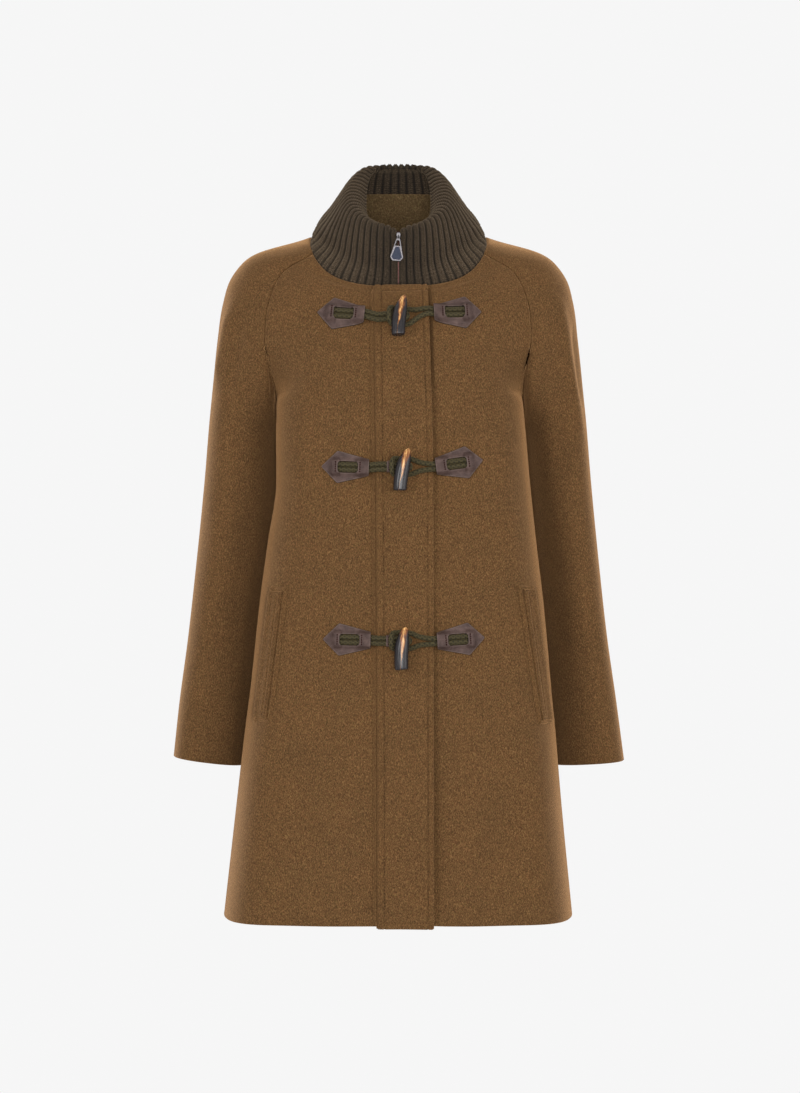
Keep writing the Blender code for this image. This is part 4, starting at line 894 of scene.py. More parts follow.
def front_place(x, z):
    sign = np.where(x >= 0.0, 1.0, -1.0)
    u, s = np.full(x.shape, 0.4), np.full(x.shape, 7.0)
    for _ in range(40):
        here = panel_point(FRONT, sign, u, s)
        du = (panel_point(FRONT, sign, u + STEP, s) - here) / STEP
        ds = (panel_point(FRONT, sign, u, s + STEP) - here) / STEP
        miss_x, miss_z = x - here[..., 0], z - here[..., 2]
        if max(np.abs(miss_x).max(), np.abs(miss_z).max()) < 1e-7:
            break
        det = du[..., 0] * ds[..., 2] - ds[..., 0] * du[..., 2]
        u = u + np.clip((miss_x * ds[..., 2] - ds[..., 0] * miss_z) / det, -0.2, 0.2)
        s = s + np.clip((du[..., 0] * miss_z - miss_x * du[..., 2]) / det, -1.5, 1.5)
        u, s = np.clip(u, 0.0, 1.0), np.clip(s, 0.0, HEM - 0.001)
    normal = unit(np.cross(du, ds))
    return here, np.where(normal[..., 1:2] < 0.0, normal, -normal)


def on_front(x, z, lift):
    """Places over the fronts, as if these went on past their neck seam and their hem."""
    x, z, lift = np.broadcast_arrays(*(np.asarray(v, float) for v in (x, z, lift)))
    inside_z = np.clip(z, HEM_Z, TOP_Z)
    point, normal = front_place(x, inside_z)
    point = point + normal * lift[..., None]
    point[..., 2] += z - inside_z
    return point


def sewn_height(thick, inside):
    """Height of a pressed piece at a distance inside its seam: the seam is a narrow valley, and
    outside it the cloth slopes down over the seam's allowance."""
    valley = 1.0 - 0.88 * np.exp(-(inside / SEAM_LINE) ** 2)
    return THIN + (thick - THIN) * valley * ramp(-SEAM_SLOPE, -0.15 * SEAM_SLOPE, inside)


NEAR_SEAM = np.array([-6.0, -5.0, -4.0, -3.1, -2.4, -1.8, -1.3, -0.9, -0.6, -0.3,
                      0.0, 0.3, 0.6, 0.9, 1.3, 1.8, 2.4, 3.1]) / 6.0 * SEAM_SLOPE
print("a place on the left front", on_front(0.05, -0.3, 0.0).round(4))

# %% [markdown]
# ## Rib knit
# The collar is a band of rib knit, folded double at its top edge. The ribs are ridges of V
# shaped stitches with narrow dark grooves between them. The ridges are real geometry, and the
# material also paints the grooves darker and the ridge tops lighter: painted shade and painted
# highlight. It paints the knit darker near the centre line too, front and back, also painted
# shade. The stitches are too small for geometry, so they come from the material, which reads the
# mesh's UV map: U counts the ribs and V counts the stitches along a rib.

# %% Rib knit material
def axes(place):
    """The parts of a place, each as a value of its own."""
    return node_after(place, "SeparateXYZ").outputs


def knit_material():
    material, place, uv = new_material("rib_knit_wool")
    ribs = axes(uv)
    from_ridge = maths("ABSOLUTE", maths("SUBTRACT", maths("FRACT", ribs["X"]), 0.5))
    loop = maths("FRACT", maths("ADD", ribs["Y"], maths("MULTIPLY", from_ridge, 1.5)))
    valley = maths("ABSOLUTE", maths("SUBTRACT", loop, 0.5))
    between = maths("POWER", maths("MULTIPLY", valley, 2.0), 2.0)
    centre = maths("POWER", maths("SUBTRACT", 1.0, maths("MULTIPLY", from_ridge, 2.0, True), True), 9.0)
    fibre = noise(place, 900.0, 3.0, 0.7)
    yarn = colour_ramp(fibre, (0.32, (0.0112, 0.0074, 0.0042)), (0.50, (0.0345, 0.0235, 0.0138)),
                       (0.70, (0.1060, 0.0745, 0.0465)))
    # Painted shade and painted highlight: the colour is darkened down in the grooves between ribs and
    # lightened on the ridge tops.
    groove_shade_ridge_highlight = colour_ramp(from_ridge, (0.0, 1.18), (0.24, 1.0), (0.36, 0.38), (0.50, 0.12))
    yarn = blend_colour("MULTIPLY", 1.0, yarn, groove_shade_ridge_highlight)
    dark = maths("ADD", maths("MULTIPLY", between, 0.95), maths("MULTIPLY", centre, 0.55), True)
    yarn = blend_colour("MULTIPLY", dark, yarn, (0.25, 0.24, 0.24))
    # Painted shade: the knit is darkened to 0.6 of its colour within about 15 mm of the centre line, front
    # and back alike, and is back to full colour by 50 mm.
    aside = maths("MULTIPLY", maths("ABSOLUTE", axes(place)["X"]), 10.0)
    yarn = blend_colour("MULTIPLY", 1.0, yarn, colour_ramp(aside, (0.15, 0.60), (0.50, 1.0)))
    stitch = bump(maths("SUBTRACT", 1.0, dark), 0.8, 0.0007)
    return dress(material, colour=yarn, roughness=0.95, gloss=0.15, sheen=0.16, sheen_roughness=0.5,
                 sheen_tint=(0.80, 0.58, 0.36), normal=bump(fibre, 0.5, 0.0005, stitch))


knit = knit_material()
print("material", knit.name)

# %% [markdown]
# ## The collar
# The collar starts on the neck seam, stands up round the throat and rolls in at its top. Seen
# from the front its two ends meet over the zip, and the top edge dips there. A band of knit has
# the same number of ribs all the way up: at the throat they are close together and at the neck
# seam they spread out, so each line of the grid follows a rib.

# %% Collar surface
RIBS_AT = [0, 12, 19, 27]                 # ribs from the centre front to the centre back
NECK_AT = [0.0, NECK_FRONT_SHARE, NECK_FRONT_SHARE + NECK_SLEEVE_SHARE, 1.0]
HALF_RIBS = RIBS_AT[-1]
TOP_K = 5.0 / 7.0                         # the collar's highest line
STITCH = 0.0026                           # length of one stitch along a rib
SLIDER_Z = -0.0062


def neck_point(sign, w):
    front = panel_point(FRONT, sign, np.clip(w / NECK_FRONT_SHARE, 0.0, 1.0), 0.0)
    over = neck_bridge(sign, np.clip((w - NECK_FRONT_SHARE) / NECK_SLEEVE_SHARE, 0.0, 1.0))
    back_share = (1.0 - w) / (1.0 - NECK_FRONT_SHARE - NECK_SLEEVE_SHARE)
    behind = panel_point(BACK, sign, np.clip(back_share, 0.0, 1.0), 0.0)
    w = w[..., None]
    return np.where(w <= NECK_AT[1], front, np.where(w <= NECK_AT[2], over, behind))


def collar_point(sign, w, k):
    """Outer face of the collar: w from the front (0) round to the back (1), k upwards."""
    angle = np.pi * w
    power = COLLAR_ROUND + COLLAR_SQUARE * np.cos(angle)
    ahead = np.sign(np.cos(angle)) * np.abs(np.cos(angle)) ** power
    aside = sign * np.maximum(0.0, np.sin(angle)) ** power
    points = [neck_point(sign, w)]
    for row in COLLAR:
        mean = (row.front_z + row.back_z) * 0.5
        # Cosine terms carry the line through its heights at the front, the side and the back.
        z = ((mean + row.side_z) * 0.5 + (row.front_z - row.back_z) * 0.5 * ahead
             + (mean - row.side_z) * 0.5 * (2.0 * ahead * ahead - 1.0))
        y = (row.front_y + row.back_y) * 0.5 + (row.front_y - row.back_y) * 0.5 * ahead
        points.append(np.stack([row.half_width * aside, y, z], -1))
    return through(np.array(points), np.full(1, k * len(COLLAR)))[0]


def even_way(sign, k):
    """Shares w at equal steps along the collar's line at height k, and the length of the line."""
    w = 1.0 - (1.0 - np.linspace(0.0, 1.0, 401)) ** 1.8
    line = neck_point(sign, w) if k == 0.0 else collar_point(sign, w, k)
    return w, walked(line)


def rib_way(sign, ribs, k):
    """Share w of each rib at height k: spread as at the neck below, evenly above."""
    w, low = even_way(sign, 0.0)
    at_neck = np.interp(ribs, RIBS_AT, np.interp(NECK_AT, w, low) / low[-1])
    part = ramp(0.0, 0.8, k)
    share = at_neck * (1.0 - part) + ribs / HALF_RIBS * part
    w, lengths = even_way(sign, k)
    return np.interp(share * lengths[-1], lengths, w)


RIB_PHASES = np.array([0.0, 0.14, 0.32, 0.50, 0.68, 0.86])
half_ribs = np.concatenate([(np.arange(HALF_RIBS)[:, None] + RIB_PHASES).ravel(), [HALF_RIBS]])
COLLAR_K = np.linspace(0.012, 1.0, 128)


def collar_half(sign, ribs, heights):
    rows = []
    for k in heights:
        row = collar_point(sign, rib_way(sign, ribs, k), k)
        x, y, z = row[:, 0].copy(), row[:, 1], row[:, 2]
        slit = 0.0013 + 0.0019 * np.exp(-((z - SLIDER_Z) / 0.0050) ** 2)
        row[:, 0] = x + sign * (y < 0.0) * slit * np.exp(-np.abs(x) / 0.008)
        row[:, 2] -= (y < 0.0) * 0.0050 * np.exp(-(x / 0.0062) ** 2) * ramp(0.47, 0.73, k)
        row[:, 2] += 0.0016 * np.exp(-((np.abs(x) - 0.043) / 0.012) ** 2) * ramp(
            0.02, 0.05, y) * ramp(0.51, 0.71, k)
        rows.append(row)
    return np.array(rows)


print("collar: ribs", 2 * HALF_RIBS, "round the top", round(2 * even_way(1.0, TOP_K)[1][-1], 3), "m")

# %% Collar mesh
RIB_HEIGHT, RIB_INSIDE, STITCH_HEIGHT = 0.0027, 0.0010, 0.00065
COUNTED_RIB = 60                          # the column along which the stitches are counted
left_half = collar_half(1.0, half_ribs, COLLAR_K)
right_half = collar_half(-1.0, half_ribs, COLLAR_K)
base = np.concatenate([left_half, right_half[:, -2::-1]], axis=1)
counted = np.concatenate([half_ribs, 2 * HALF_RIBS - half_ribs[-2::-1]])
normal, flip = outward(base, (0.0, 0.0, 0.02))
to_groove = np.abs(counted - np.round(counted))[None, :]
ridge = 1.0 - np.exp(-(to_groove / 0.14) ** 2)
stitches_up = walked(base[:, COUNTED_RIB])[:, None] / STITCH
wave = np.cos(2.0 * np.pi * (stitches_up + 1.5 * np.abs(counted % 1.0 - 0.5)[None, :]))
k_column = COLLAR_K[:, None]
lift = RIB_HEIGHT * (ridge - 0.62) + STITCH_HEIGHT * wave * ridge
lift = lift * ramp(0.0, 0.043, k_column) - 0.0012 * ramp(0.051, 0.0, k_column)
outer = base + normal * lift[..., None]
inner = base - normal * (KNIT + RIB_INSIDE * (ridge - 0.5) * ramp(0.17, 0.43, k_column))[..., None]
uv = np.stack(np.broadcast_arrays(counted[None, :], stitches_up), -1)
collar = cloth("rib_collar_knit", outer, inner, flip, knit, uv=uv, rounds=4)
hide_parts("rib_collar")
flat_area["rib_collar_knit"] = area_of(base)
print("collar", triangles(collar), "triangles, box", np.ptp(outer.reshape(-1, 3), axis=0).round(3))

# %% [markdown]
# ## The facing inside the neck
# Inside the back of the neck the coat's own cloth covers the seam. It shows through the collar's
# opening as a brown field below the dark ribs, and it lies a little off the knit.

# %% Neck facing
FACING_EASE, FACING_THICK = 0.0020, 0.0020
facing_w = np.linspace(0.67, 0.995, 60)
halves = []
for sign in (-1.0, 1.0):
    up = np.linspace(0.343, 0.0257, 26)
    grid = np.array([collar_point(sign, facing_w, k) for k in up])
    way, _ = outward(grid, (0.0, 0.0, 0.0))
    deep = KNIT + 3.0 * LIE + FACING_EASE * ramp(0.257, 0.086, up)
    high = grid - way * deep[:, None, None]
    down = np.linspace(0.6, 2.4, 26)
    back_share = (1.0 - facing_w) / (1.0 - NECK_AT[2])
    grid = panel_point(BACK, sign, back_share[None, :], down[:, None])
    way, _ = outward(grid, (0.0, 0.0, -0.1))
    part = ramp(0.3, 2.0, down)
    deep = (KNIT + FACING_EASE) * (1.0 - part) + CLOTH * part + 3.0 * LIE
    half = np.concatenate([high, grid - way * deep[:, None, None]])
    halves.append(half if sign < 0.0 else half[:, ::-1])
outer = np.concatenate(halves, axis=1)
way, flip = outward(outer, (0.0, 0.0, 0.0))
facing = cloth("neck_facing_cloth", outer, outer - way * FACING_THICK, flip, wool_inside, rounds=2)
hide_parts("neck_facing")
flat_area["neck_facing_cloth"] = area_of(outer)
print("facing", triangles(facing), "triangles")

# %% [markdown]
# ## Sewing thread
# The placket and the pocket welts are topstitched with thread in the colour of the cloth. Here the
# thread is drawn much darker than the cloth, painted shade that makes each sunk row read as a dark
# line. Each stitch is a small spindle of thread that sinks in at both ends. There are hundreds of
# them, so one mesh holds all the stitches of a piece: an object for every stitch would be slow.

# %% Stitches
def thread_material(name, dark, pale):
    material, place, _ = new_material(name)
    twist = noise(place, 1500.0, 1.0)
    return dress(material, colour=colour_ramp(twist, (0.3, dark), (0.7, pale)), roughness=0.75,
                 gloss=0.06, normal=bump(twist, 0.4, 0.0002))


# Painted shade: this thread is much darker than the wool, so each sunk row reads as a dark line.
thread = thread_material("sewing_thread", (0.010, 0.005, 0.002), (0.026, 0.013, 0.006))
bar_thread = thread_material("dark_bar_thread", (0.008, 0.0015, 0.0015), (0.022, 0.005, 0.004))
SUNK = 0.0008                             # how deep a row of stitches is pressed into wool
SPINDLE = ((-0.5, 0.15), (-0.3, 0.8), (0.0, 1.0), (0.3, 0.8), (0.5, 0.15))
Stitch = namedtuple("Stitch", "length gap radius material")


def even_points(line, spacing):
    """Points and ways at even spacing along a polyline."""
    marks = np.arange(spacing * 0.5, walked(line)[-1], spacing)
    near = spacing * 0.3
    return at_marks(line, marks), unit(at_marks(line, marks + near) - at_marks(line, marks - near))


def spindles(points, ways, length, radius, sides=6):
    """Points and quads of one spindle of thread at each point."""
    side_way = unit(np.cross(ways, np.array([0.0, -1.0, 0.0])))
    up_way = np.cross(side_way, ways)
    angles = 2.0 * np.pi * np.arange(sides) / sides
    rings = []
    for along, thick in SPINDLE:
        ring = points[:, None] + ways[:, None] * along * length + radius * thick * (
            side_way[:, None] * np.cos(angles)[None, :, None]
            + up_way[:, None] * np.sin(angles)[None, :, None])
        rings.append(ring)
    verts = np.stack(rings, 1).reshape(-1, 3)
    one = grid_quads(len(SPINDLE), sides, True, 0, False)
    starts = np.arange(len(points))[:, None, None] * len(SPINDLE) * sides
    return verts, (one[None] + starts).reshape(-1, 4)


def stitch_lines(name, lines, stitch):
    verts, quads, used = [], [], 0
    for line in lines:
        points, ways = even_points(line, stitch.length + stitch.gap)
        more, faces = spindles(points, ways, stitch.length, stitch.radius)
        verts.append(more)
        quads.append(faces + used)
        used += len(more)
    return make_piece(name, np.concatenate(verts), np.concatenate(quads), stitch.material)


print("one stitch has", len(SPINDLE), "rings")

# %% [markdown]
# ## The placket
# The placket is a folded strip that covers the zip. It is sewn to the right front along one
# edge and free along the other, where it stands off a little more towards the hem. Along the sewn
# edge its seam is a narrow valley, and the cloth slopes down past it over the seam's allowance.
# Topstitching presses a line into it all round, and the edge beyond the line is slightly puffed.

# %% Placket
PLACKET_THICK, PLACKET_EASE, PLACKET_DROP = 0.0034, 0.0002, 0.0030
SEWN_STITCH, FREE_STITCH, END_STITCH = 0.0092, 0.0058, 0.0066


def placket_lift(share, z):
    s = strip_station(np.clip(z, PLACKET[-1].z, PLACKET[0].z))
    return LIE + PLACKET_EASE + column(PLACKET, "lift", s) * ramp(0.35, 1.0, share)


LOW_Z = PLACKET[-1].z - PLACKET_DROP
STRIP_WIDE = PLACKET[3].free_x - PLACKET[3].sewn_x
share = np.concatenate([NEAR_SEAM / STRIP_WIDE, np.linspace(0.064, 0.22, 18)[:-1],
                        np.linspace(0.22, 0.84, 16)[:-1], np.linspace(0.84, 1.0, 18)])[None, :]
END_TOP, END_LOW = -0.082, -0.842         # the rows lie closer together beyond these heights
down = np.concatenate([np.linspace(PLACKET[0].z, END_TOP, 16)[:-1],
                       np.linspace(END_TOP, END_LOW, 150)[:-1],
                       np.linspace(END_LOW, LOW_Z, 16)])[:, None]
from_end = np.minimum(PLACKET[0].z - down, down - LOW_Z)
inside = share * placket_x(0.0, down)[1]
narrowing = 0.1 + 0.9 * ramp(0.0, 0.012, from_end)    # the allowance tapers off at both ends
across = np.where(share < 0.0, share * narrowing, share)
x, wide = placket_x(across, down)
line_gap = np.minimum.reduce(np.broadcast_arrays(
    np.abs(inside - SEWN_STITCH), np.abs(wide - inside - FREE_STITCH),
    np.abs(PLACKET[0].z - down - END_STITCH), np.abs(down - LOW_Z - END_STITCH)))
line_gap = np.where(inside < SEWN_STITCH - 0.004, np.abs(inside - SEWN_STITCH), line_gap)
puff = 0.00025 - 0.0012 * np.exp(-(line_gap / 0.0010) ** 2)
waver = 0.00035 * np.sin(down / 0.0093 + 1.7 * np.sin(down / 0.021))
waver = waver * np.exp(-(line_gap / 0.004) ** 2)
lift = placket_lift(np.maximum(share, 0.0), down)
thick = sewn_height(PLACKET_THICK, inside) + (puff + waver) * ramp(0.0, 0.004, inside)
inner = on_front(x, down, lift)
outer = on_front(x, down, lift + thick)
placket = cloth("placket_cloth", outer, inner, outward(outer, (0.0, 0.5, -0.45))[1], wool, rounds=3)
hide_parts("placket")
flat_area["placket_cloth"] = area_of(outer)

# %% Placket stitches
def placket_line(shares, heights):
    x, _ = placket_x(shares, heights)
    return on_front(x, heights, placket_lift(shares, heights) + PLACKET_THICK - SUNK)


TOP_LINE, LOW_LINE = PLACKET[0].z - END_STITCH, LOW_Z + END_STITCH
heights = np.linspace(TOP_LINE, LOW_LINE, 200)
_, wide = placket_x(0.0, heights)
lines = [placket_line(SEWN_STITCH / wide, heights), placket_line(1.0 - FREE_STITCH / wide, heights)]
for z in (TOP_LINE, LOW_LINE):
    _, wide_here = placket_x(0.0, z)
    shares = np.linspace(SEWN_STITCH / wide_here, 1.0 - FREE_STITCH / wide_here, 30)
    lines.append(placket_line(shares, np.full(30, z)))
placket_thread = stitch_lines("placket_stitches", lines, Stitch(0.0026, 0.0012, 0.00026, thread))
print("placket", triangles(placket), "stitches", triangles(placket_thread))

# %% [markdown]
# ## The pocket welts
# A welt is the narrow strip that borders a slanted pocket. It is stitched along its inner side
# and at both ends with two rows. The pocket opens along its outer side: there the welt stands up
# a little, over the trough that was left for it in the front.

# %% Welts
WELT_THICK, WELT_PUFF, PAST_SEAM = 0.0040, 0.0018, 0.0036
WELT_ROWS = (0.0026, 0.0056)              # the two rows of stitches, from the welt's edges
WELT_STITCH = Stitch(0.0024, 0.0011, 0.00024, thread)
welts, welt_thread = {}, {}
for side, sign in SIGN.items():
    welt = WELTS[side]

    def welt_place(across, down, lift):
        near = welt.top_in + (welt.low_in - welt.top_in) * down
        far = welt.top_out + (welt.low_out - welt.top_out) * down
        z = welt.top_z + (welt.low_z - welt.top_z) * down
        return on_front(near + (far - near) * across, z, lift)

    length = welt.top_z - welt.low_z
    width = abs(welt.top_out - welt.top_in)
    across = np.concatenate([NEAR_SEAM, np.linspace(PAST_SEAM, width, 20)])[None, :] / width
    field = np.linspace(PAST_SEAM, length - PAST_SEAM, 84)
    down = np.concatenate([NEAR_SEAM, field, length - NEAR_SEAM[::-1]])[:, None] / length
    from_edge = np.minimum(np.minimum(across * width, down * length), (1.0 - down) * length)
    dent = sum(np.exp(-((from_edge - row) / 0.0007) ** 2) for row in WELT_ROWS)
    inner = welt_place(across, down, LIE)
    puffed = WELT_PUFF * ramp(1.0 - 0.005 / width, 1.0, across)
    outer = welt_place(across, down, LIE + sewn_height(WELT_THICK, from_edge) - SUNK * dent + puffed)
    name = "pocket_welt_%s_cloth" % side
    welts[side] = cloth(name, outer, inner, outward(outer, (sign * 0.15, 0.5, -0.5))[1], wool, rounds=3)
    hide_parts("pocket_welt_" + side)
    flat_area[name] = area_of(outer)
    lines = []
    for row in WELT_ROWS:
        ends = row / length
        walk_down = np.linspace(ends, 1.0 - ends, 60)
        walk_across = np.linspace(1.0 - 0.001 / width, row / width, 12)
        lines.append(welt_place(row / width, walk_down, LIE + WELT_THICK - SUNK))
        for end in (ends, 1.0 - ends):
            lines.append(welt_place(walk_across, end, LIE + WELT_THICK - SUNK))
    welt_thread[side] = stitch_lines("pocket_welt_%s_stitches" % side, lines, WELT_STITCH)
    print(name, triangles(welts[side]), "stitches", triangles(welt_thread[side]))

# %% [markdown]
# ## The zip
# Behind the placket runs a metal zip. Its woven tapes are sewn to the edges of the fronts and of
# the collar, and rows of small teeth sit on their inner edges. Only the top few centimetres ever
# show, in the slit of the collar, but the whole zip is made, because the placket can be looked
# under. All the teeth are one mesh: the same little block, set down again and again.

# %% Zip tape and tooth materials
def tape_material():
    material, place, _ = new_material("zip_tape_weave")
    wave = node_after(place, "TexWave", "Vector")
    wave.wave_type = "BANDS"
    wave.bands_direction = "DIAGONAL"
    wave.inputs["Scale"].default_value = 420.0
    wave.inputs["Distortion"].default_value = 1.5
    weave = wave.outputs["Fac"]
    colour = colour_ramp(weave, (0.2, (0.022, 0.011, 0.009)), (0.8, (0.060, 0.030, 0.024)))
    return dress(material, colour=colour, roughness=0.85, normal=bump(weave, 0.4, 0.0002))


def metal_material(name, bright, dull, roughness):
    material, place, _ = new_material(name)
    worn = noise(place, 700.0, 3.0, 0.6)
    rough = maths("ADD", maths("MULTIPLY", worn, 0.25), roughness - 0.12)
    return dress(material, colour=colour_ramp(worn, (0.35, dull), (0.65, bright)), metallic=1.0,
                 roughness=rough, normal=bump(worn, 0.15, 0.0002))


tape_weave = tape_material()
nickel = metal_material("old_nickel", (0.068, 0.064, 0.066), (0.034, 0.032, 0.033), 0.28)
tooth_metal = metal_material("red_bronze_teeth", (0.12, 0.055, 0.052), (0.040, 0.014, 0.014), 0.40)
steel_blue = metal_material("dark_plate", (0.015, 0.017, 0.024), (0.008, 0.009, 0.013), 0.36)
print("materials", tape_weave.name, nickel.name, tooth_metal.name, steel_blue.name)

# %% Zip tapes and teeth
ZIP_FOOT = 12.55                          # the level of the fronts where the zip ends
TAPE_IN, TAPE_WIDTH, TAPE_THICK, TAPE_EASE, TAPE_CURVE = 0.0008, 0.0100, 0.0008, 0.0010, 12.0
TOOTH_PITCH, TOOTH_HIGH, TOOTH_DEEP, CHAIN_HALF = 0.0016, 0.0009, 0.0018, 0.0023


def centre_line():
    """The middle of the front from the collar to the zip's foot: place, normal, depth."""
    places, normals, depths = [], [], []
    nought = np.zeros(1)
    for k in np.linspace(0.686, 0.034, 30):
        ahead = collar_point(1.0, nought, k + 0.01)[0] - collar_point(1.0, nought, k - 0.01)[0]
        places.append(collar_point(1.0, nought, k)[0])
        normals.append([0.0, -ahead[2], ahead[1]])
        depths.append(KNIT + TAPE_EASE)
    s = np.linspace(0.25, ZIP_FOOT, 160)
    ahead = panel_point(FRONT, 1.0, 0.0, s - 0.01) - panel_point(FRONT, 1.0, 0.0, s + 0.01)
    part = ramp(0.0, 1.5, s)
    places = np.concatenate([places, panel_point(FRONT, 1.0, 0.0, s)])
    normals = np.concatenate([normals, np.stack([0.0 * s, -ahead[:, 2], ahead[:, 1]], -1)])
    depths = np.concatenate([depths, (KNIT + TAPE_EASE) * (1.0 - part) + CLOTH * part])
    return places, unit(normals), depths


zip_place, zip_normal, zip_deep = centre_line()


def zip_strip(x, behind):
    grid = zip_place[:, None] - zip_normal[:, None] * (zip_deep + behind)[:, None, None]
    grid = np.broadcast_to(grid, (len(zip_place), len(x), 3)).copy()
    grid[..., 0] = x
    grid[..., 1] += TAPE_CURVE * x * x
    return grid


for side, sign in SIGN.items():
    x = sign * np.linspace(TAPE_IN, TAPE_IN + TAPE_WIDTH, 7)
    outer, inner = zip_strip(x, LIE), zip_strip(x, LIE + TAPE_THICK)
    name = "zip_tape_%s_weave" % side
    cloth(name, outer, inner, outward(outer, (0.0, 0.5, -0.4))[1], tape_weave)
    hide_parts("zip_tape_" + side)
    flat_area[name] = area_of(outer)

chain_middle = zip_strip(np.zeros(1), LIE - 0.0004 - TOOTH_DEEP * 0.5)[:, 0]
points, ways = even_points(chain_middle, TOOTH_PITCH)
out = np.stack([0.0 * ways[:, 0], -ways[:, 2], ways[:, 1]], -1)
out *= np.where(out[:, 1:2] > 0.0, -1.0, 1.0)
verts, quads = [], []
TOOTH = ((-1, -1, -1), (1, -1, -1), (1, 1, -1), (-1, 1, -1), (-0.8, -0.8, 1), (0.8, -0.8, 1),
         (0.8, 0.8, 1), (-0.8, 0.8, 1))
TOOTH_FACES = np.array([(0, 3, 2, 1), (4, 5, 6, 7), (0, 1, 5, 4), (1, 2, 6, 5), (2, 3, 7, 6),
                        (3, 0, 4, 7)])
TOOTH_REACH = 0.0016
for number, (point, way, front) in enumerate(zip(points, ways, out)):
    sign = 1.0 if number % 2 else -1.0
    middle = point + np.array([sign * (CHAIN_HALF - TOOTH_REACH), 0.0, 0.0])
    for x, along, ahead in TOOTH:
        up, deep = way * along * TOOTH_HIGH * 0.5, front * ahead * TOOTH_DEEP * 0.5
        verts.append(middle + np.array([x * TOOTH_REACH, 0.0, 0.0]) + up + deep)
    quads.append(TOOTH_FACES + len(TOOTH) * number)
teeth = make_piece("zip_teeth", np.array(verts), np.concatenate(quads), tooth_metal)
teeth.data.shade_flat()
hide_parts("zip_chain")
print("zip", round(float(walked(chain_middle)[-1]), 3), "m long,", len(points), "teeth")

# %% [markdown]
# ## Slider and pull tab
# The slider is two plates with a bridge over the front one. A flat tab hangs on the bridge, its
# eye round the wire, and swings up in the plane of the front. It is a frame with a window and a
# darker plate let in below it, which stays bare. Flat metal with holes is quickest as a 2D curve
# with some thickness and a round bevel, turned into a mesh at the end.

# %% Slider and tab helpers
from mathutils import Euler, Vector

HINGE = Vector((0.0, -0.0792, -0.0072))
ARCH_RADIUS, ARCH_WIRE, TAB_THICK, TAB_LEAN = 0.0016, 0.0005, 0.0014, 5.0
METAL_EDGE = 50.0                         # degrees between faces from which an edge stays sharp


def rounded(corners, radius, steps=5):
    """The closed outline through corners, each one turned with a small arc."""
    outline = []
    count = len(corners)
    for i in range(count):
        before, here, after = (Vector(corners[j % count]) for j in (i - 1, i, i + 1))
        into, away = (before - here).normalized(), (after - here).normalized()
        reach = min(radius, (before - here).length * 0.45, (after - here).length * 0.45)
        for t in np.linspace(0.0, 1.0, steps):
            a, b = here + into * reach, here + away * reach
            outline.append(a * (1 - t) ** 2 + here * 2 * t * (1 - t) + b * t * t)
    return outline


def flat_metal(name, cuts, thickness, edge, material, body, place, turn):
    """A plate with round edges, cut along (right half of an outline, corner radius); all cuts
    after the first are holes."""
    curve = bpy.data.curves.new(name + "_cut", "CURVE")
    curve.dimensions = "2D"
    curve.fill_mode = "BOTH"
    curve.extrude = thickness * 0.5 - edge
    curve.bevel_depth = edge
    curve.bevel_resolution = 2
    curve.offset = -edge
    for half, radius in cuts:
        outline = rounded(half + [(-x, y) for x, y in reversed(half)], radius)
        spline = curve.splines.new("POLY")
        spline.points.add(len(outline) - 1)
        for node, point in zip(spline.points, outline):
            node.co = (point[0], point[1], 0.0, 1.0)
        spline.use_cyclic_u = True
    cut = bpy.data.objects.new(name + "_cut", curve)
    show(cut)
    bpy.context.view_layer.update()
    mesh = bpy.data.meshes.new_from_object(cut.evaluated_get(bpy.context.evaluated_depsgraph_get()))
    bpy.data.objects.remove(cut, do_unlink=True)
    mesh.transform(turn.to_matrix().to_4x4())
    mesh.name = name
    for vertex in mesh.vertices:
        vertex.co += place
    return as_piece(name, mesh, material, body, METAL_EDGE)


def tube_piece(name, line, radius, material, sides, twist=None):
    """A round cord or wire along a polyline; twist(turn, run) swells and sinks its skin."""
    way = unit(np.gradient(line, axis=0))
    side_way = np.zeros_like(line)
    start = np.array([0.0, -1.0, 0.3])
    for i, ahead in enumerate(way):
        start = unit(start - ahead * np.dot(start, ahead))
        side_way[i] = start
    up_way = np.cross(way, side_way)
    run = walked(line)
    turn = 2.0 * np.pi * np.arange(sides) / sides
    thick = radius * (1.0 if twist is None else twist(turn[None, :], run[:, None]))
    thick = np.broadcast_to(thick, (len(line), sides))[..., None]
    ring = (side_way[:, None] * np.cos(turn)[None, :, None]
            + up_way[:, None] * np.sin(turn)[None, :, None])
    rows = line[:, None] + ring * thick
    first, last = (line[end, None] + ring[end] * thick[end] * 0.3 for end in (slice(0, 1), slice(-1, None)))
    rows = np.concatenate([first, rows, last])
    run = np.concatenate([[0.0], run, run[-1:]])
    uv = np.stack(np.broadcast_arrays(turn[None, :] / (2.0 * np.pi), run[:, None]), -1)
    quads = grid_quads(len(rows), sides, True, 0, True)
    return make_piece(name, rows.reshape(-1, 3), quads, material, uv.reshape(-1, 2)), run[-1]


UPRIGHT = Euler((math.radians(90.0), 0.0, 0.0))
LEANING = Euler((math.radians(90.0), math.radians(TAB_LEAN), 0.0))
print("hinge at", tuple(round(v, 4) for v in HINGE))

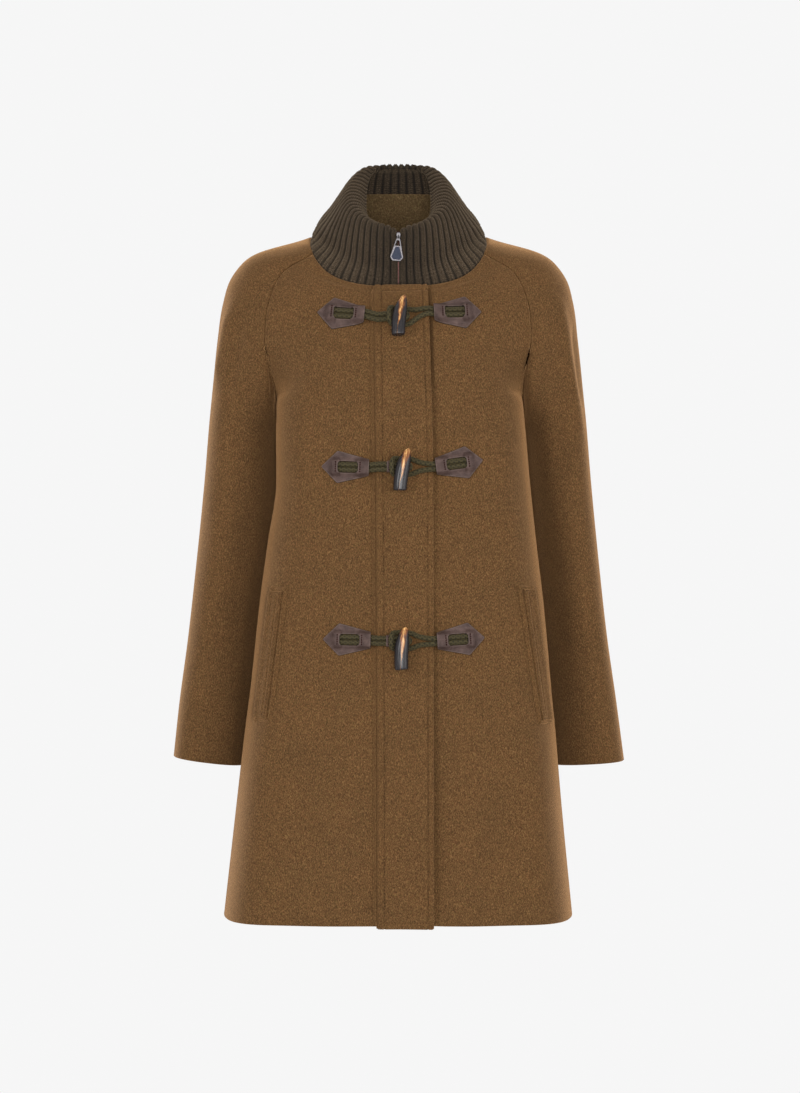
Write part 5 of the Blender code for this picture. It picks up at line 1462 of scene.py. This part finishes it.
# %% Slider and tab
SLIDER_FACE = HINGE.y + ARCH_RADIUS + 0.0007
SLIDER_HALF = [(0.0012, 0.0055), (0.0026, 0.0042), (0.0026, 0.0012), (0.0020, -0.0012),
               (0.0019, -0.0035)]
slider_parts = []
for part, further in (("front", 0.0), ("back", 0.0032)):
    where = Vector((0.0, SLIDER_FACE + 0.0006 + further, HINGE.z))
    slider_parts.append(flat_metal("zip_slider_%s_plate" % part, [(SLIDER_HALF, 0.0012)],
                                   0.0012, 0.0004, nickel, "coat", where, UPRIGHT))
core = [(0.0009, 0.0050), (0.0009, 0.0015), (0.0005, -0.0005)]
where = Vector((0.0, SLIDER_FACE + 0.0022, HINGE.z))
slider_parts.append(flat_metal("zip_slider_core", [(core, 0.0004)], 0.0024, 0.0002,
                               nickel, "coat", where, UPRIGHT))
angles = np.radians(np.linspace(-12.0, 192.0, 30))
arch_line = np.stack([0.0 * angles, HINGE.y - np.sin(angles) * ARCH_RADIUS,
                      HINGE.z + np.cos(angles) * ARCH_RADIUS], -1)
leg = np.array([[0.0, SLIDER_FACE + 0.0006, HINGE.z + ARCH_RADIUS],
                [0.0, SLIDER_FACE + 0.0006, HINGE.z - ARCH_RADIUS]])
arch_line = np.concatenate([leg[:1], arch_line, leg[1:]])
arch, _ = tube_piece("slider_arch", arch_line, ARCH_WIRE, nickel, 10)
for thing in slider_parts + [arch]:
    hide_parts("zip_slider")

TAB_OUTLINE = [(0.0019, 0.0007), (0.0021, -0.0028), (0.0029, -0.0042), (0.0083, -0.0262),
               (0.0050, -0.0306)]
TAB_EYE = [(0.0011, -0.0007), (0.0011, -0.0029)]
TAB_WINDOW = [(0.0014, -0.0052), (0.0031, -0.0115)]
TAB_PLATE = [(0.0024, -0.0130), (0.0066, -0.0257), (0.0041, -0.0289)]
tab = flat_metal("pull_tab_frame", [(TAB_OUTLINE, 0.0012), (TAB_EYE, 0.0004), (TAB_WINDOW, 0.0006)],
                 TAB_THICK, 0.0004, nickel, "tab", HINGE, LEANING)
plate = flat_metal("pull_tab_plate", [(TAB_PLATE, 0.0007)], TAB_THICK + 0.0003, 0.0002,
                   steel_blue, "tab", HINGE, LEANING)
for thing in (tab, plate):
    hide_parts("pull_tab")
print("tab", triangles(tab), "slider", sum(triangles(p) for p in slider_parts))

# %% [markdown]
# ## Leather
# The patches are cut from matt purple-brown leather and left raw at the edge. Leather has a
# grain of fine cells, some slow shading from handling, and a paler cut edge. The mesh's UV map
# carries how far each point lies from an edge, so the material paints the cut itself dark, a
# painted shadow along the edge, and a band just inside it paler, part wear of the raw edge and
# part painted highlight.

# %% Leather material
def leather_material():
    material, place, uv = new_material("matt_leather")
    from_edge = axes(uv)["Y"]
    cells = node_after(place, "TexVoronoi", "Vector")
    cells.feature = "DISTANCE_TO_EDGE"
    cells.inputs["Scale"].default_value = 850.0
    slow = noise(place, 120.0, 3.0, 0.6)
    colour = colour_ramp(slow, (0.30, (0.032, 0.0185, 0.0155)), (0.55, (0.054, 0.0330, 0.0280)),
                         (0.80, (0.086, 0.055, 0.047)))
    crease = maths("MULTIPLY", cells.outputs["Distance"], 9.0, True)
    tone = colour_ramp(crease, (0.0, (0.66, 0.64, 0.64)), (0.5, WHITE))
    colour = blend_colour("MULTIPLY", 0.8, colour, tone)
    # Paler band along the edge, broken up by noise: part wear of the raw edge, part painted highlight.
    rim = maths("SUBTRACT", 1.0, maths("MULTIPLY", from_edge, 1.0, True), True)
    pale_rim_wear_and_highlight = maths("MULTIPLY", rim, maths("ADD", noise(place, 500.0, 2.0), 0.25, True), True)
    colour = blend_colour("MIX", pale_rim_wear_and_highlight, colour, (0.130, 0.094, 0.076))
    # Painted shadow: the cut itself is darkened to about 0.15 of its colour, a dark outline round every
    # edge and window.
    cut = colour_ramp(from_edge, (0.20, (0.16, 0.14, 0.14)), (0.42, WHITE))
    colour = blend_colour("MULTIPLY", 1.0, colour, cut)
    rough = maths("ADD", maths("MULTIPLY", slow, 0.25), 0.45)
    return dress(material, colour=colour, roughness=rough, gloss=0.16,
                 normal=bump(crease, 0.5, 0.0004, bump(slow, 0.3, 0.001)))


leather = leather_material()
print("material", leather.name)

# %% [markdown]
# ## The patches
# Each fastening hangs on two kite-shaped patches. A patch has a window where the doubled cord
# shows, and a bar of stitches on both sides of the window holds the cord down. Outline and window
# are walked in the same number of steps, so rings of quads fill the leather between them, and the
# rings at both edges lie close together to round the cut.

# %% Fastening tables
Fastening = namedtuple("Fastening", "toggle_x toggle_z tilt cross_z "
                       "right_x right_z right_fall left_x left_z left_fall")
FASTENINGS = [
    Fastening(0.0027, -0.1147, 8.3, -0.1122, -0.1007, -0.1035, 4.2, 0.1028, -0.1029, 2.2),
    Fastening(0.0061, -0.2987, 11.6, -0.2948, -0.0947, -0.2940, 1.7, 0.1037, -0.2862, 7.9),
    Fastening(0.0053, -0.5164, 5.3, -0.5072, -0.0927, -0.5051, 1.3, 0.1058, -0.5033, 4.0),
]
PATCH_LENGTH, PATCH_SHOULDER, PATCH_HALF_WIDE, PATCH_HALF_END = 0.0590, 0.0200, 0.0200, 0.0102
WINDOW_START, WINDOW_END, WINDOW_HALF, NIP = 0.0212, 0.0452, 0.0068, 0.0022
LEATHER = 0.0015


def patch_place(row, side, along, across, lift):
    """A place on a patch: along from its tip towards the middle, across upwards."""
    right = side == "right"
    fall = math.radians(row.right_fall if right else row.left_fall)
    tip_x, tip_z = (row.right_x, row.right_z) if right else (row.left_x, row.left_z)
    inward = -SIGN[side]
    x = tip_x + inward * (math.cos(fall) * along + math.sin(fall) * across)
    z = tip_z - math.sin(fall) * along + math.cos(fall) * across
    return on_front(x, z, lift)


def leather_roof(along, across):
    """Underside of the leather, raised where the cords lie below it."""
    over_cords = (ramp(0.009, 0.016, along) - 0.6 * ramp(0.0215, 0.025, along)
                  + 0.6 * ramp(0.041, 0.045, along))
    roof = 0.0068 * over_cords + 0.0034 * ramp(0.044, PATCH_LENGTH, along)
    return LIE + roof * (1.0 - ramp(0.0068, 0.0130, np.abs(across)))


def walk(corners, counts):
    points = [np.array(corners[:1])]
    for a, b, count in zip(corners, corners[1:], counts):
        t = np.arange(1, count + 1)[:, None] / count
        points.append(np.array(a) * (1.0 - t) + np.array(b) * t)
    return np.concatenate(points)


def soft_loop(half, rounds):
    """The whole closed outline from its upper half, its corners softened."""
    loop = np.concatenate([half, half[-2:0:-1] * np.array([1.0, -1.0])])
    for _ in range(rounds):
        loop = loop * 0.5 + (np.roll(loop, 1, axis=0) + np.roll(loop, -1, axis=0)) * 0.25
    return loop


print("fastenings", len(FASTENINGS))

# %% Patches
PATCH_OUTLINE = soft_loop(walk([(0.0, 0.0), (PATCH_SHOULDER, PATCH_HALF_WIDE),
                                (PATCH_LENGTH, PATCH_HALF_END), (PATCH_LENGTH, 0.0)], (21, 42, 12)), 2)
PATCH_WINDOW = soft_loop(walk([(WINDOW_START, 0.0), (WINDOW_START, WINDOW_HALF - NIP),
                               (WINDOW_START + NIP, WINDOW_HALF), (WINDOW_END - NIP, WINDOW_HALF),
                               (WINDOW_END, WINDOW_HALF - NIP), (WINDOW_END, 0.0)],
                              (14, 6, 36, 6, 13)), 6)
EDGE_STEPS = ((0.0, 0.0), (0.0, 0.5), (0.00012, 0.80), (0.00035, 0.95), (0.0008, 1.0))
FIELD = (0.12, 0.24, 0.38, 0.5, 0.62, 0.76, 0.88)
BAR_OFF, BAR_HALF, BAR_PROUD = 0.0028, 0.0066, 0.00005
BAR_STITCH = Stitch(0.0022, 0.0005, 0.00085, bar_thread)
# Within this width the leather's edge is painted: a dark painted shadow on the cut, then a paler band, part
# wear and part painted highlight.
CUT_WIDTH = 0.0014                        # how far in from its edge the leather shows wear


def patch_rings():
    """Rings of (along, across, height share, distance to an edge) over a patch's upper face."""
    span = np.linalg.norm(PATCH_WINDOW - PATCH_OUTLINE, axis=1)
    rings = [(gap / span, high, gap) for gap, high in EDGE_STEPS]
    rings += [(np.full(len(span), t), 1.0, min(t, 1.0 - t) * span) for t in FIELD]
    rings += [(1.0 - gap / span, high, gap) for gap, high in EDGE_STEPS[::-1]]
    return [(PATCH_OUTLINE * (1.0 - t)[:, None] + PATCH_WINDOW * t[:, None], high,
             np.broadcast_to(gap, len(span))) for t, high, gap in rings]


for index, row in enumerate(FASTENINGS, start=1):
    for side in SIGN:
        grid, uv = [], []
        above = patch_rings()
        below = [(flat, 0.0, gap) for flat, _, gap in above[-6:4:-1]]
        for flat, high, gap in above + below:
            along, across = flat[:, 0], flat[:, 1]
            lift = leather_roof(along, across) + LEATHER * high
            grid.append(patch_place(row, side, along, across, lift))
            uv.append(np.stack([along, gap / CUT_WIDTH], -1))
        rows, columns = len(grid), len(grid[0])
        points = np.array(grid).reshape(-1, 3)
        quads = grid_quads(rows, columns, True, 0, side == "left")
        first = np.arange(columns)
        last = (rows - 1) * columns + first
        joint = np.stack([last, np.roll(last, -1), np.roll(first, -1), first], -1)
        quads = np.concatenate([quads, joint if side == "right" else joint[:, ::-1]])
        name = "patch_%s_%d_leather" % (side, index)
        patch = make_piece(name, points, quads, leather, np.array(uv).reshape(-1, 2))
        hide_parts("patch_%s_%d" % (side, index))
        lines = []
        for along in (WINDOW_START - BAR_OFF, WINDOW_END + BAR_OFF):
            across = np.linspace(-BAR_HALF, BAR_HALF, 20)
            lift = leather_roof(along, across) + LEATHER + BAR_PROUD
            lines.append(patch_place(row, side, along, across, lift))
        stitch_lines("patch_%s_%d_stitches" % (side, index), lines, BAR_STITCH)

# %% [markdown]
# ## The cords
# Every cord is a round braid of eight strands, about 6 mm thick. Its skin is drawn with two sets
# of spirals that cross: where one rides over the other the cord swells a little, and the colour is
# painted lighter there and darker in the hollows between, painted highlight and painted shade. The
# toggle's own cord comes out of the right patch and turns back inside the toggle's notch. The loop
# comes out of the left patch, passes behind the toggle's back and goes round it.

# %% Cord material
BRAID_STRANDS, BRAID_PITCH = 4, 0.0060


def cord_material():
    material, place, uv = new_material("olive_braid")
    skin = axes(uv)
    turn = maths("MULTIPLY", skin["X"], BRAID_STRANDS * 2.0 * math.pi)
    run = maths("MULTIPLY", skin["Y"], 2.0 * math.pi / BRAID_PITCH)
    one = maths("COSINE", maths("ADD", turn, run))
    other = maths("COSINE", maths("SUBTRACT", turn, run))
    over = maths("MULTIPLY", maths("ADD", maths("MAXIMUM", one, other), 1.0), 0.5)
    fibre = noise(place, 1300.0, 2.0, 0.6)
    # Painted shade and painted highlight: the colour is darkest down between the strands and lightest where
    # one strand rides over the other.
    colour = colour_ramp(over, (0.15, (0.0056, 0.0042, 0.0014)), (0.60, (0.0178, 0.0136, 0.0046)),
                         (1.0, (0.0370, 0.0290, 0.0105)))
    fleck = colour_ramp(fibre, (0.35, (0.72, 0.72, 0.70)), (0.70, (1.35, 1.35, 1.30)))
    return dress(material, colour=blend_colour("MULTIPLY", 1.0, colour, fleck), roughness=0.80,
                 gloss=0.20, sheen=0.05, sheen_tint=(0.80, 0.70, 0.40),
                 normal=bump(over, 0.6, 0.0004, bump(fibre, 0.3, 0.0002)))


braid_cord = cord_material()
print("material", braid_cord.name)

# %% Cords
CORD_RADIUS, CORD_PITCH, CORD_LOW, CORD_END_LIFT, CORD_OVER = 0.0031, 0.0064, 0.0038, 0.0070, 0.0080
STEM_LIFT, STEM_EDGE_LIFT, STEM_REACH = 0.0112, 0.0100, 0.0085
HALF_PITCH, CORD_STEP = CORD_PITCH * 0.5, 0.0007


def braid(turn, run):
    spiral = 2.0 * np.pi * run / BRAID_PITCH
    over = np.maximum(np.cos(BRAID_STRANDS * turn + spiral), np.cos(BRAID_STRANDS * turn - spiral))
    return 0.955 + 0.045 * over


def smooth_route(points, spacing):
    points = np.array(points)
    fine = through(points, np.linspace(0.0, len(points) - 1.0, 40 * len(points)))
    whole = walked(fine)[-1]
    return at_marks(fine, np.linspace(0.0, whole, int(whole / spacing)))


def one_place(x, z, lift):
    return on_front([x], [z], [lift])[0]


def cord_in_patch(row, side, across):
    along = np.array([WINDOW_START - 0.0030, 0.0300, 0.0400, 0.0480, 0.0540, PATCH_LENGTH])
    lift = np.array([CORD_LOW, CORD_LOW, CORD_LOW, 0.0046, 0.0058, CORD_END_LIFT])
    return list(patch_place(row, side, along, across, lift))


def toggle_cord_route(row):
    strands = {}
    for sign in (1.0, -1.0):
        strand = cord_in_patch(row, "right", sign * HALF_PITCH)
        for x, lift in ((-0.0300, CORD_OVER), (-0.0210, CORD_OVER + 0.0005), (-0.0125, STEM_EDGE_LIFT),
                        (-0.0060, 0.0108), (0.0, STEM_LIFT), (STEM_REACH - HALF_PITCH, STEM_LIFT)):
            strand.append(one_place(row.toggle_x + x, row.cross_z + sign * HALF_PITCH, lift))
        strands[sign] = strand
    turn = one_place(row.toggle_x + STEM_REACH, row.cross_z, STEM_LIFT)
    return strands[1.0] + [turn] + strands[-1.0][::-1]


def loop_cord_route(row):
    arms = {}
    station = strip_station(row.cross_z)
    free, rise = float(column(PLACKET, "free_x", station)), float(column(PLACKET, "lift", station))
    fall = math.radians(row.left_fall)
    edge_up = row.left_z - math.tan(fall) * (row.left_x - free) - row.cross_z
    for sign in (1.0, -1.0):
        strand = cord_in_patch(row, "left", sign * HALF_PITCH)
        strand.append(one_place(free, row.cross_z + edge_up + sign * HALF_PITCH,
                                CORD_OVER + rise + 0.0007))
        for x, apart, lift in ((0.0250, 0.0043, CORD_OVER + rise), (0.0180, 0.0060, CORD_OVER + rise * 0.6),
                               (0.0100, 0.0090, CORD_OVER + rise * 0.2), (0.0, 0.0097, CORD_OVER),
                               (-0.0070, 0.0099, 0.0086), (-0.0115, 0.0094, 0.0118),
                               (-0.0138, 0.0064, 0.0155), (-0.0143, 0.0030, 0.0168)):
            up = sign * apart + edge_up * float(ramp(0.008, free - row.toggle_x, x))
            strand.append(one_place(row.toggle_x + x, row.cross_z + up, lift))
        arms[sign] = strand
    return arms[1.0] + arms[-1.0][::-1]


cords, cord_lengths = [], {}
for index, row in enumerate(FASTENINGS, start=1):
    for kind, points in (("toggle_cord", toggle_cord_route(row)), ("loop_cord", loop_cord_route(row))):
        node = "%s_%d" % (kind, index)
        route = smooth_route(points, CORD_STEP)
        cord, length = tube_piece(node + "_braid", route, CORD_RADIUS, braid_cord, 20, braid)
        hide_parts(node)
        cords.append(cord)
        cord_lengths[node] = round(float(length), 3)
print("cords", cord_lengths, "of", triangles(cords[0]), "triangles")

# %% [markdown]
# ## The keepers
# Beside the toggle a small band of leather holds the two strands of its cord together. It shows
# on the two lower fastenings; on the top one the toggle hides that place. A band is a ring
# swept along the cords, folded back inside itself for its thickness, with one bar of stitches.

# %% Keepers
KEEPER_FROM, KEEPER_TO, KEEPER_LIFT = -0.0202, -0.0152, 0.0093
KEEPER_HIGH, KEEPER_DEEP, KEEPER_THICK, KEEPER_LEAN = 0.0071, 0.0038, 0.0007, 0.15
KEEPER_SIDES = 36
KEEPERS_SHOW = (2, 3)                     # the fastenings on which a keeper can be seen


def keeper_ring(row, x, shrink):
    """One ring of the small leather band that holds the two strands together."""
    turn = 2.0 * np.pi * np.arange(KEEPER_SIDES) / KEEPER_SIDES
    up, out = (np.sign(way) * np.abs(way) ** 0.75 * (half - shrink)
               for way, half in ((np.sin(turn), KEEPER_HIGH), (np.cos(turn), KEEPER_DEEP)))
    lean = (x - KEEPER_FROM) * KEEPER_LEAN
    return on_front(row.toggle_x + x, row.cross_z + up, KEEPER_LIFT + lean + out)


for index in KEEPERS_SHOW:
    row = FASTENINGS[index - 1]
    along = np.linspace(KEEPER_FROM, KEEPER_TO, 9)
    edge = KEEPER_THICK * 0.5 * np.abs(np.linspace(-1.0, 1.0, 9)) ** 6
    grid = [keeper_ring(row, x, e) for x, e in zip(along, edge)]
    grid += [keeper_ring(row, x, KEEPER_THICK - e) for x, e in zip(along[::-1], edge[::-1])]
    grid.append(grid[0])
    # The band's inner face gets no distance from an edge, so the leather paints it with the dark colour of
    # the cut: painted shade.
    rim = np.repeat(np.concatenate([CUT_WIDTH - edge * 3.0, np.zeros(10)]), KEEPER_SIDES)
    keeper_uv = np.stack([np.zeros(len(rim)), rim / CUT_WIDTH], -1)
    quads = grid_quads(len(grid), KEEPER_SIDES, True, 0, False)
    make_piece("cord_keeper_%d_leather" % index, np.concatenate(grid), quads, leather,
                              keeper_uv)
    up = np.linspace(-0.0052, 0.0052, 20)
    middle = (KEEPER_FROM + KEEPER_TO) * 0.5
    line = on_front(row.toggle_x + middle, row.cross_z + up,
                    KEEPER_LIFT + (middle - KEEPER_FROM) * KEEPER_LEAN + KEEPER_DEEP * 0.97)
    stitch_lines("cord_keeper_%d_stitches" % index, [line], Stitch(0.0019, 0.0007, 0.0005, bar_thread))

# %% [markdown]
# ## The toggles
# The toggles look like tusks of dark polished horn: pointed at the top, round in the body and cut
# off at a slant below. Horn grows in layers, and here a warm amber streak runs down from the tip
# through the nearly black body. The streak follows the toggle's own shape through its UV map,
# brightest in its middle, and a low roughness gives the small highlights of a worn polish.

# %% Horn material
def horn_material():
    material, place, uv = new_material("polished_horn")
    skin = axes(uv)
    layers = noise(stretched(place, (1.0, 1.0, 0.12)), 480.0, 4.0, 0.6)
    wander = noise(stretched(place, (1.0, 1.0, 0.6)), 90.0, 2.0)
    aside = maths("ADD", skin["X"], maths("MULTIPLY", maths("SUBTRACT", wander, 0.5), 0.55))
    aside = maths("ABSOLUTE", maths("ADD", aside, 0.05))
    reach = maths("MULTIPLY", maths("ADD", skin["Y"], 0.25), 0.46, True)
    streak = maths("SUBTRACT", 1.0, maths("DIVIDE", aside, maths("ADD", reach, 0.02)), True)
    patchy = maths("ADD", maths("MULTIPLY", layers, 2.4), -0.55, True)
    streak = maths("MULTIPLY", streak, patchy, True)
    body = colour_ramp(layers, (0.30, (0.007, 0.006, 0.007)), (0.60, (0.014, 0.012, 0.013)),
                       (0.80, (0.034, 0.027, 0.023)))
    amber = colour_ramp(streak, (0.0, (0.045, 0.016, 0.008)), (0.35, (0.160, 0.056, 0.017)),
                        (0.80, (0.450, 0.255, 0.092)))
    colour = blend_colour("MIX", maths("MULTIPLY", streak, 3.0, True), body, amber)
    rough = maths("ADD", maths("MULTIPLY", layers, 0.20), 0.16)
    return dress(material, colour=colour, roughness=rough, gloss=0.26, normal=bump(layers, 0.12, 0.0004))


horn = horn_material()
print("material", horn.name)

# %% Toggles
Section = namedtuple("Section", "up half_wide half_deep")
HORN = [Section(0.0262, 0.0008, 0.0008), Section(0.0250, 0.0022, 0.0020), Section(0.0230, 0.0036, 0.0031),
        Section(0.0190, 0.0053, 0.0045), Section(0.0130, 0.0070, 0.0058), Section(0.0060, 0.0082, 0.0067),
        Section(-0.0020, 0.0086, 0.0070), Section(-0.0120, 0.0086, 0.0069),
        Section(-0.0210, 0.0083, 0.0066), Section(-0.0252, 0.0079, 0.0062),
        Section(-0.0262, 0.0068, 0.0053)]
TOGGLE_LIFT, TOGGLE_HANG, TOGGLE_BOW, TOGGLE_SIDES = 0.0192, 0.70, 0.0022, 44
NOTCH_LEFT, NOTCH_RIGHT, NOTCH_HALF, NOTCH_AIR = -0.0120, 0.0160, 0.0068, 0.0005
HORN_EDGE = 42.0                          # degrees between faces from which an edge stays sharp


def toggle_rows():
    """Rings of a toggle in its own frame, before the notch for the cord is cut."""
    stations = np.linspace(0.0, len(HORN) - 1.0, 73)
    up = column(HORN, "up", stations)[:, None]
    wide, deep = (column(HORN, name, stations)[:, None] for name in ("half_wide", "half_deep"))
    angle = 2.0 * np.pi * np.arange(TOGGLE_SIDES)[None, :] / TOGGLE_SIDES
    facet = 1.0 - 0.018 * np.cos(5.0 * angle + 0.6) * ramp(0.024, 0.016, up)
    bow = TOGGLE_BOW * (1.0 - (up / HORN[0].up) ** 2) - TOGGLE_BOW * 0.5
    x = wide * np.cos(angle) * facet - bow
    y = deep * np.sin(angle) * facet
    slant = 0.0016 * (x / 0.008) * ramp(-0.012, -0.026, up)
    z = np.broadcast_to(up, x.shape) + slant
    return x, y, z


x, y, z = toggle_rows()
for index, row in enumerate(FASTENINGS, start=1):
    middle = one_place(row.toggle_x, row.toggle_z, TOGGLE_LIFT)
    above, below = (one_place(row.toggle_x, row.toggle_z + up, TOGGLE_LIFT) for up in (0.02, -0.02))
    slope = math.atan2(above[1] - below[1], above[2] - below[2])
    tilt = math.radians(row.tilt)
    cross = row.cross_z - row.toggle_z
    wx = x * math.cos(tilt) + z * math.sin(tilt)
    wz = -x * math.sin(tilt) + z * math.cos(tilt)
    floor_y = TOGGLE_LIFT - (STEM_LIFT + CORD_RADIUS + NOTCH_AIR)
    inside = (np.abs(wz - cross) < NOTCH_HALF) & (wx > NOTCH_LEFT) & (wx < NOTCH_RIGHT)
    wy = np.where(inside & (y > floor_y), floor_y, y)
    local = np.stack([wx, wy, wz], -1)
    turn = np.array(Euler((-slope * TOGGLE_HANG, 0.0, 0.0)).to_matrix())
    grid = local @ turn.T + middle
    tip, foot = grid[:1], grid[-1:]
    tip = tip.mean(axis=1, keepdims=True) * 0.7 + tip * 0.3
    foot = foot.mean(axis=1, keepdims=True) * 0.6 + foot * 0.4
    grid = np.concatenate([tip, grid, foot])
    streak = np.stack([x / 0.0088, np.broadcast_to(z / 0.026 + 0.35, x.shape)], -1)
    uv = np.concatenate([streak[:1], streak, streak[-1:]])
    count = len(grid) * TOGGLE_SIDES
    quads = grid_quads(len(grid), TOGGLE_SIDES, True, 0, True)
    caps = [grid[0].mean(axis=0), grid[-1].mean(axis=0)]
    points = np.concatenate([grid.reshape(-1, 3), caps])
    uv = np.concatenate([uv.reshape(-1, 2), uv[0, :1], uv[-1, :1]])
    first, last = np.arange(TOGGLE_SIDES), count - TOGGLE_SIDES + np.arange(TOGGLE_SIDES)
    faces = quads.tolist() + [[count, int(a), int(b)] for a, b in zip(first, np.roll(first, -1))]
    faces += [[count + 1, int(b), int(a)] for a, b in zip(last, np.roll(last, -1))]
    toggle = make_piece("toggle_%d_horn" % index, points, faces, horn, uv, sharp=HORN_EDGE)
    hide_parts("toggle_%d" % index)

# %% [markdown]
# ## A sheet of cloth
# A Cut is the record of one piece of cloth laid flat: the piece, its width and length, how it is
# held, what it rests on and the pieces that go with it. This cell only defines the record.

# %% Sheets
Cut = namedtuple("Cut", "piece width length held rests_on with_pieces")

# %% [markdown]
# ## Sizes, and the end
# The last cell measures the box of all the shown pieces but the floor. Cloth may stand a little
# proud of the frame, but no more than a few millimetres.

# %% Measure the sizes and finish
low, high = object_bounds()
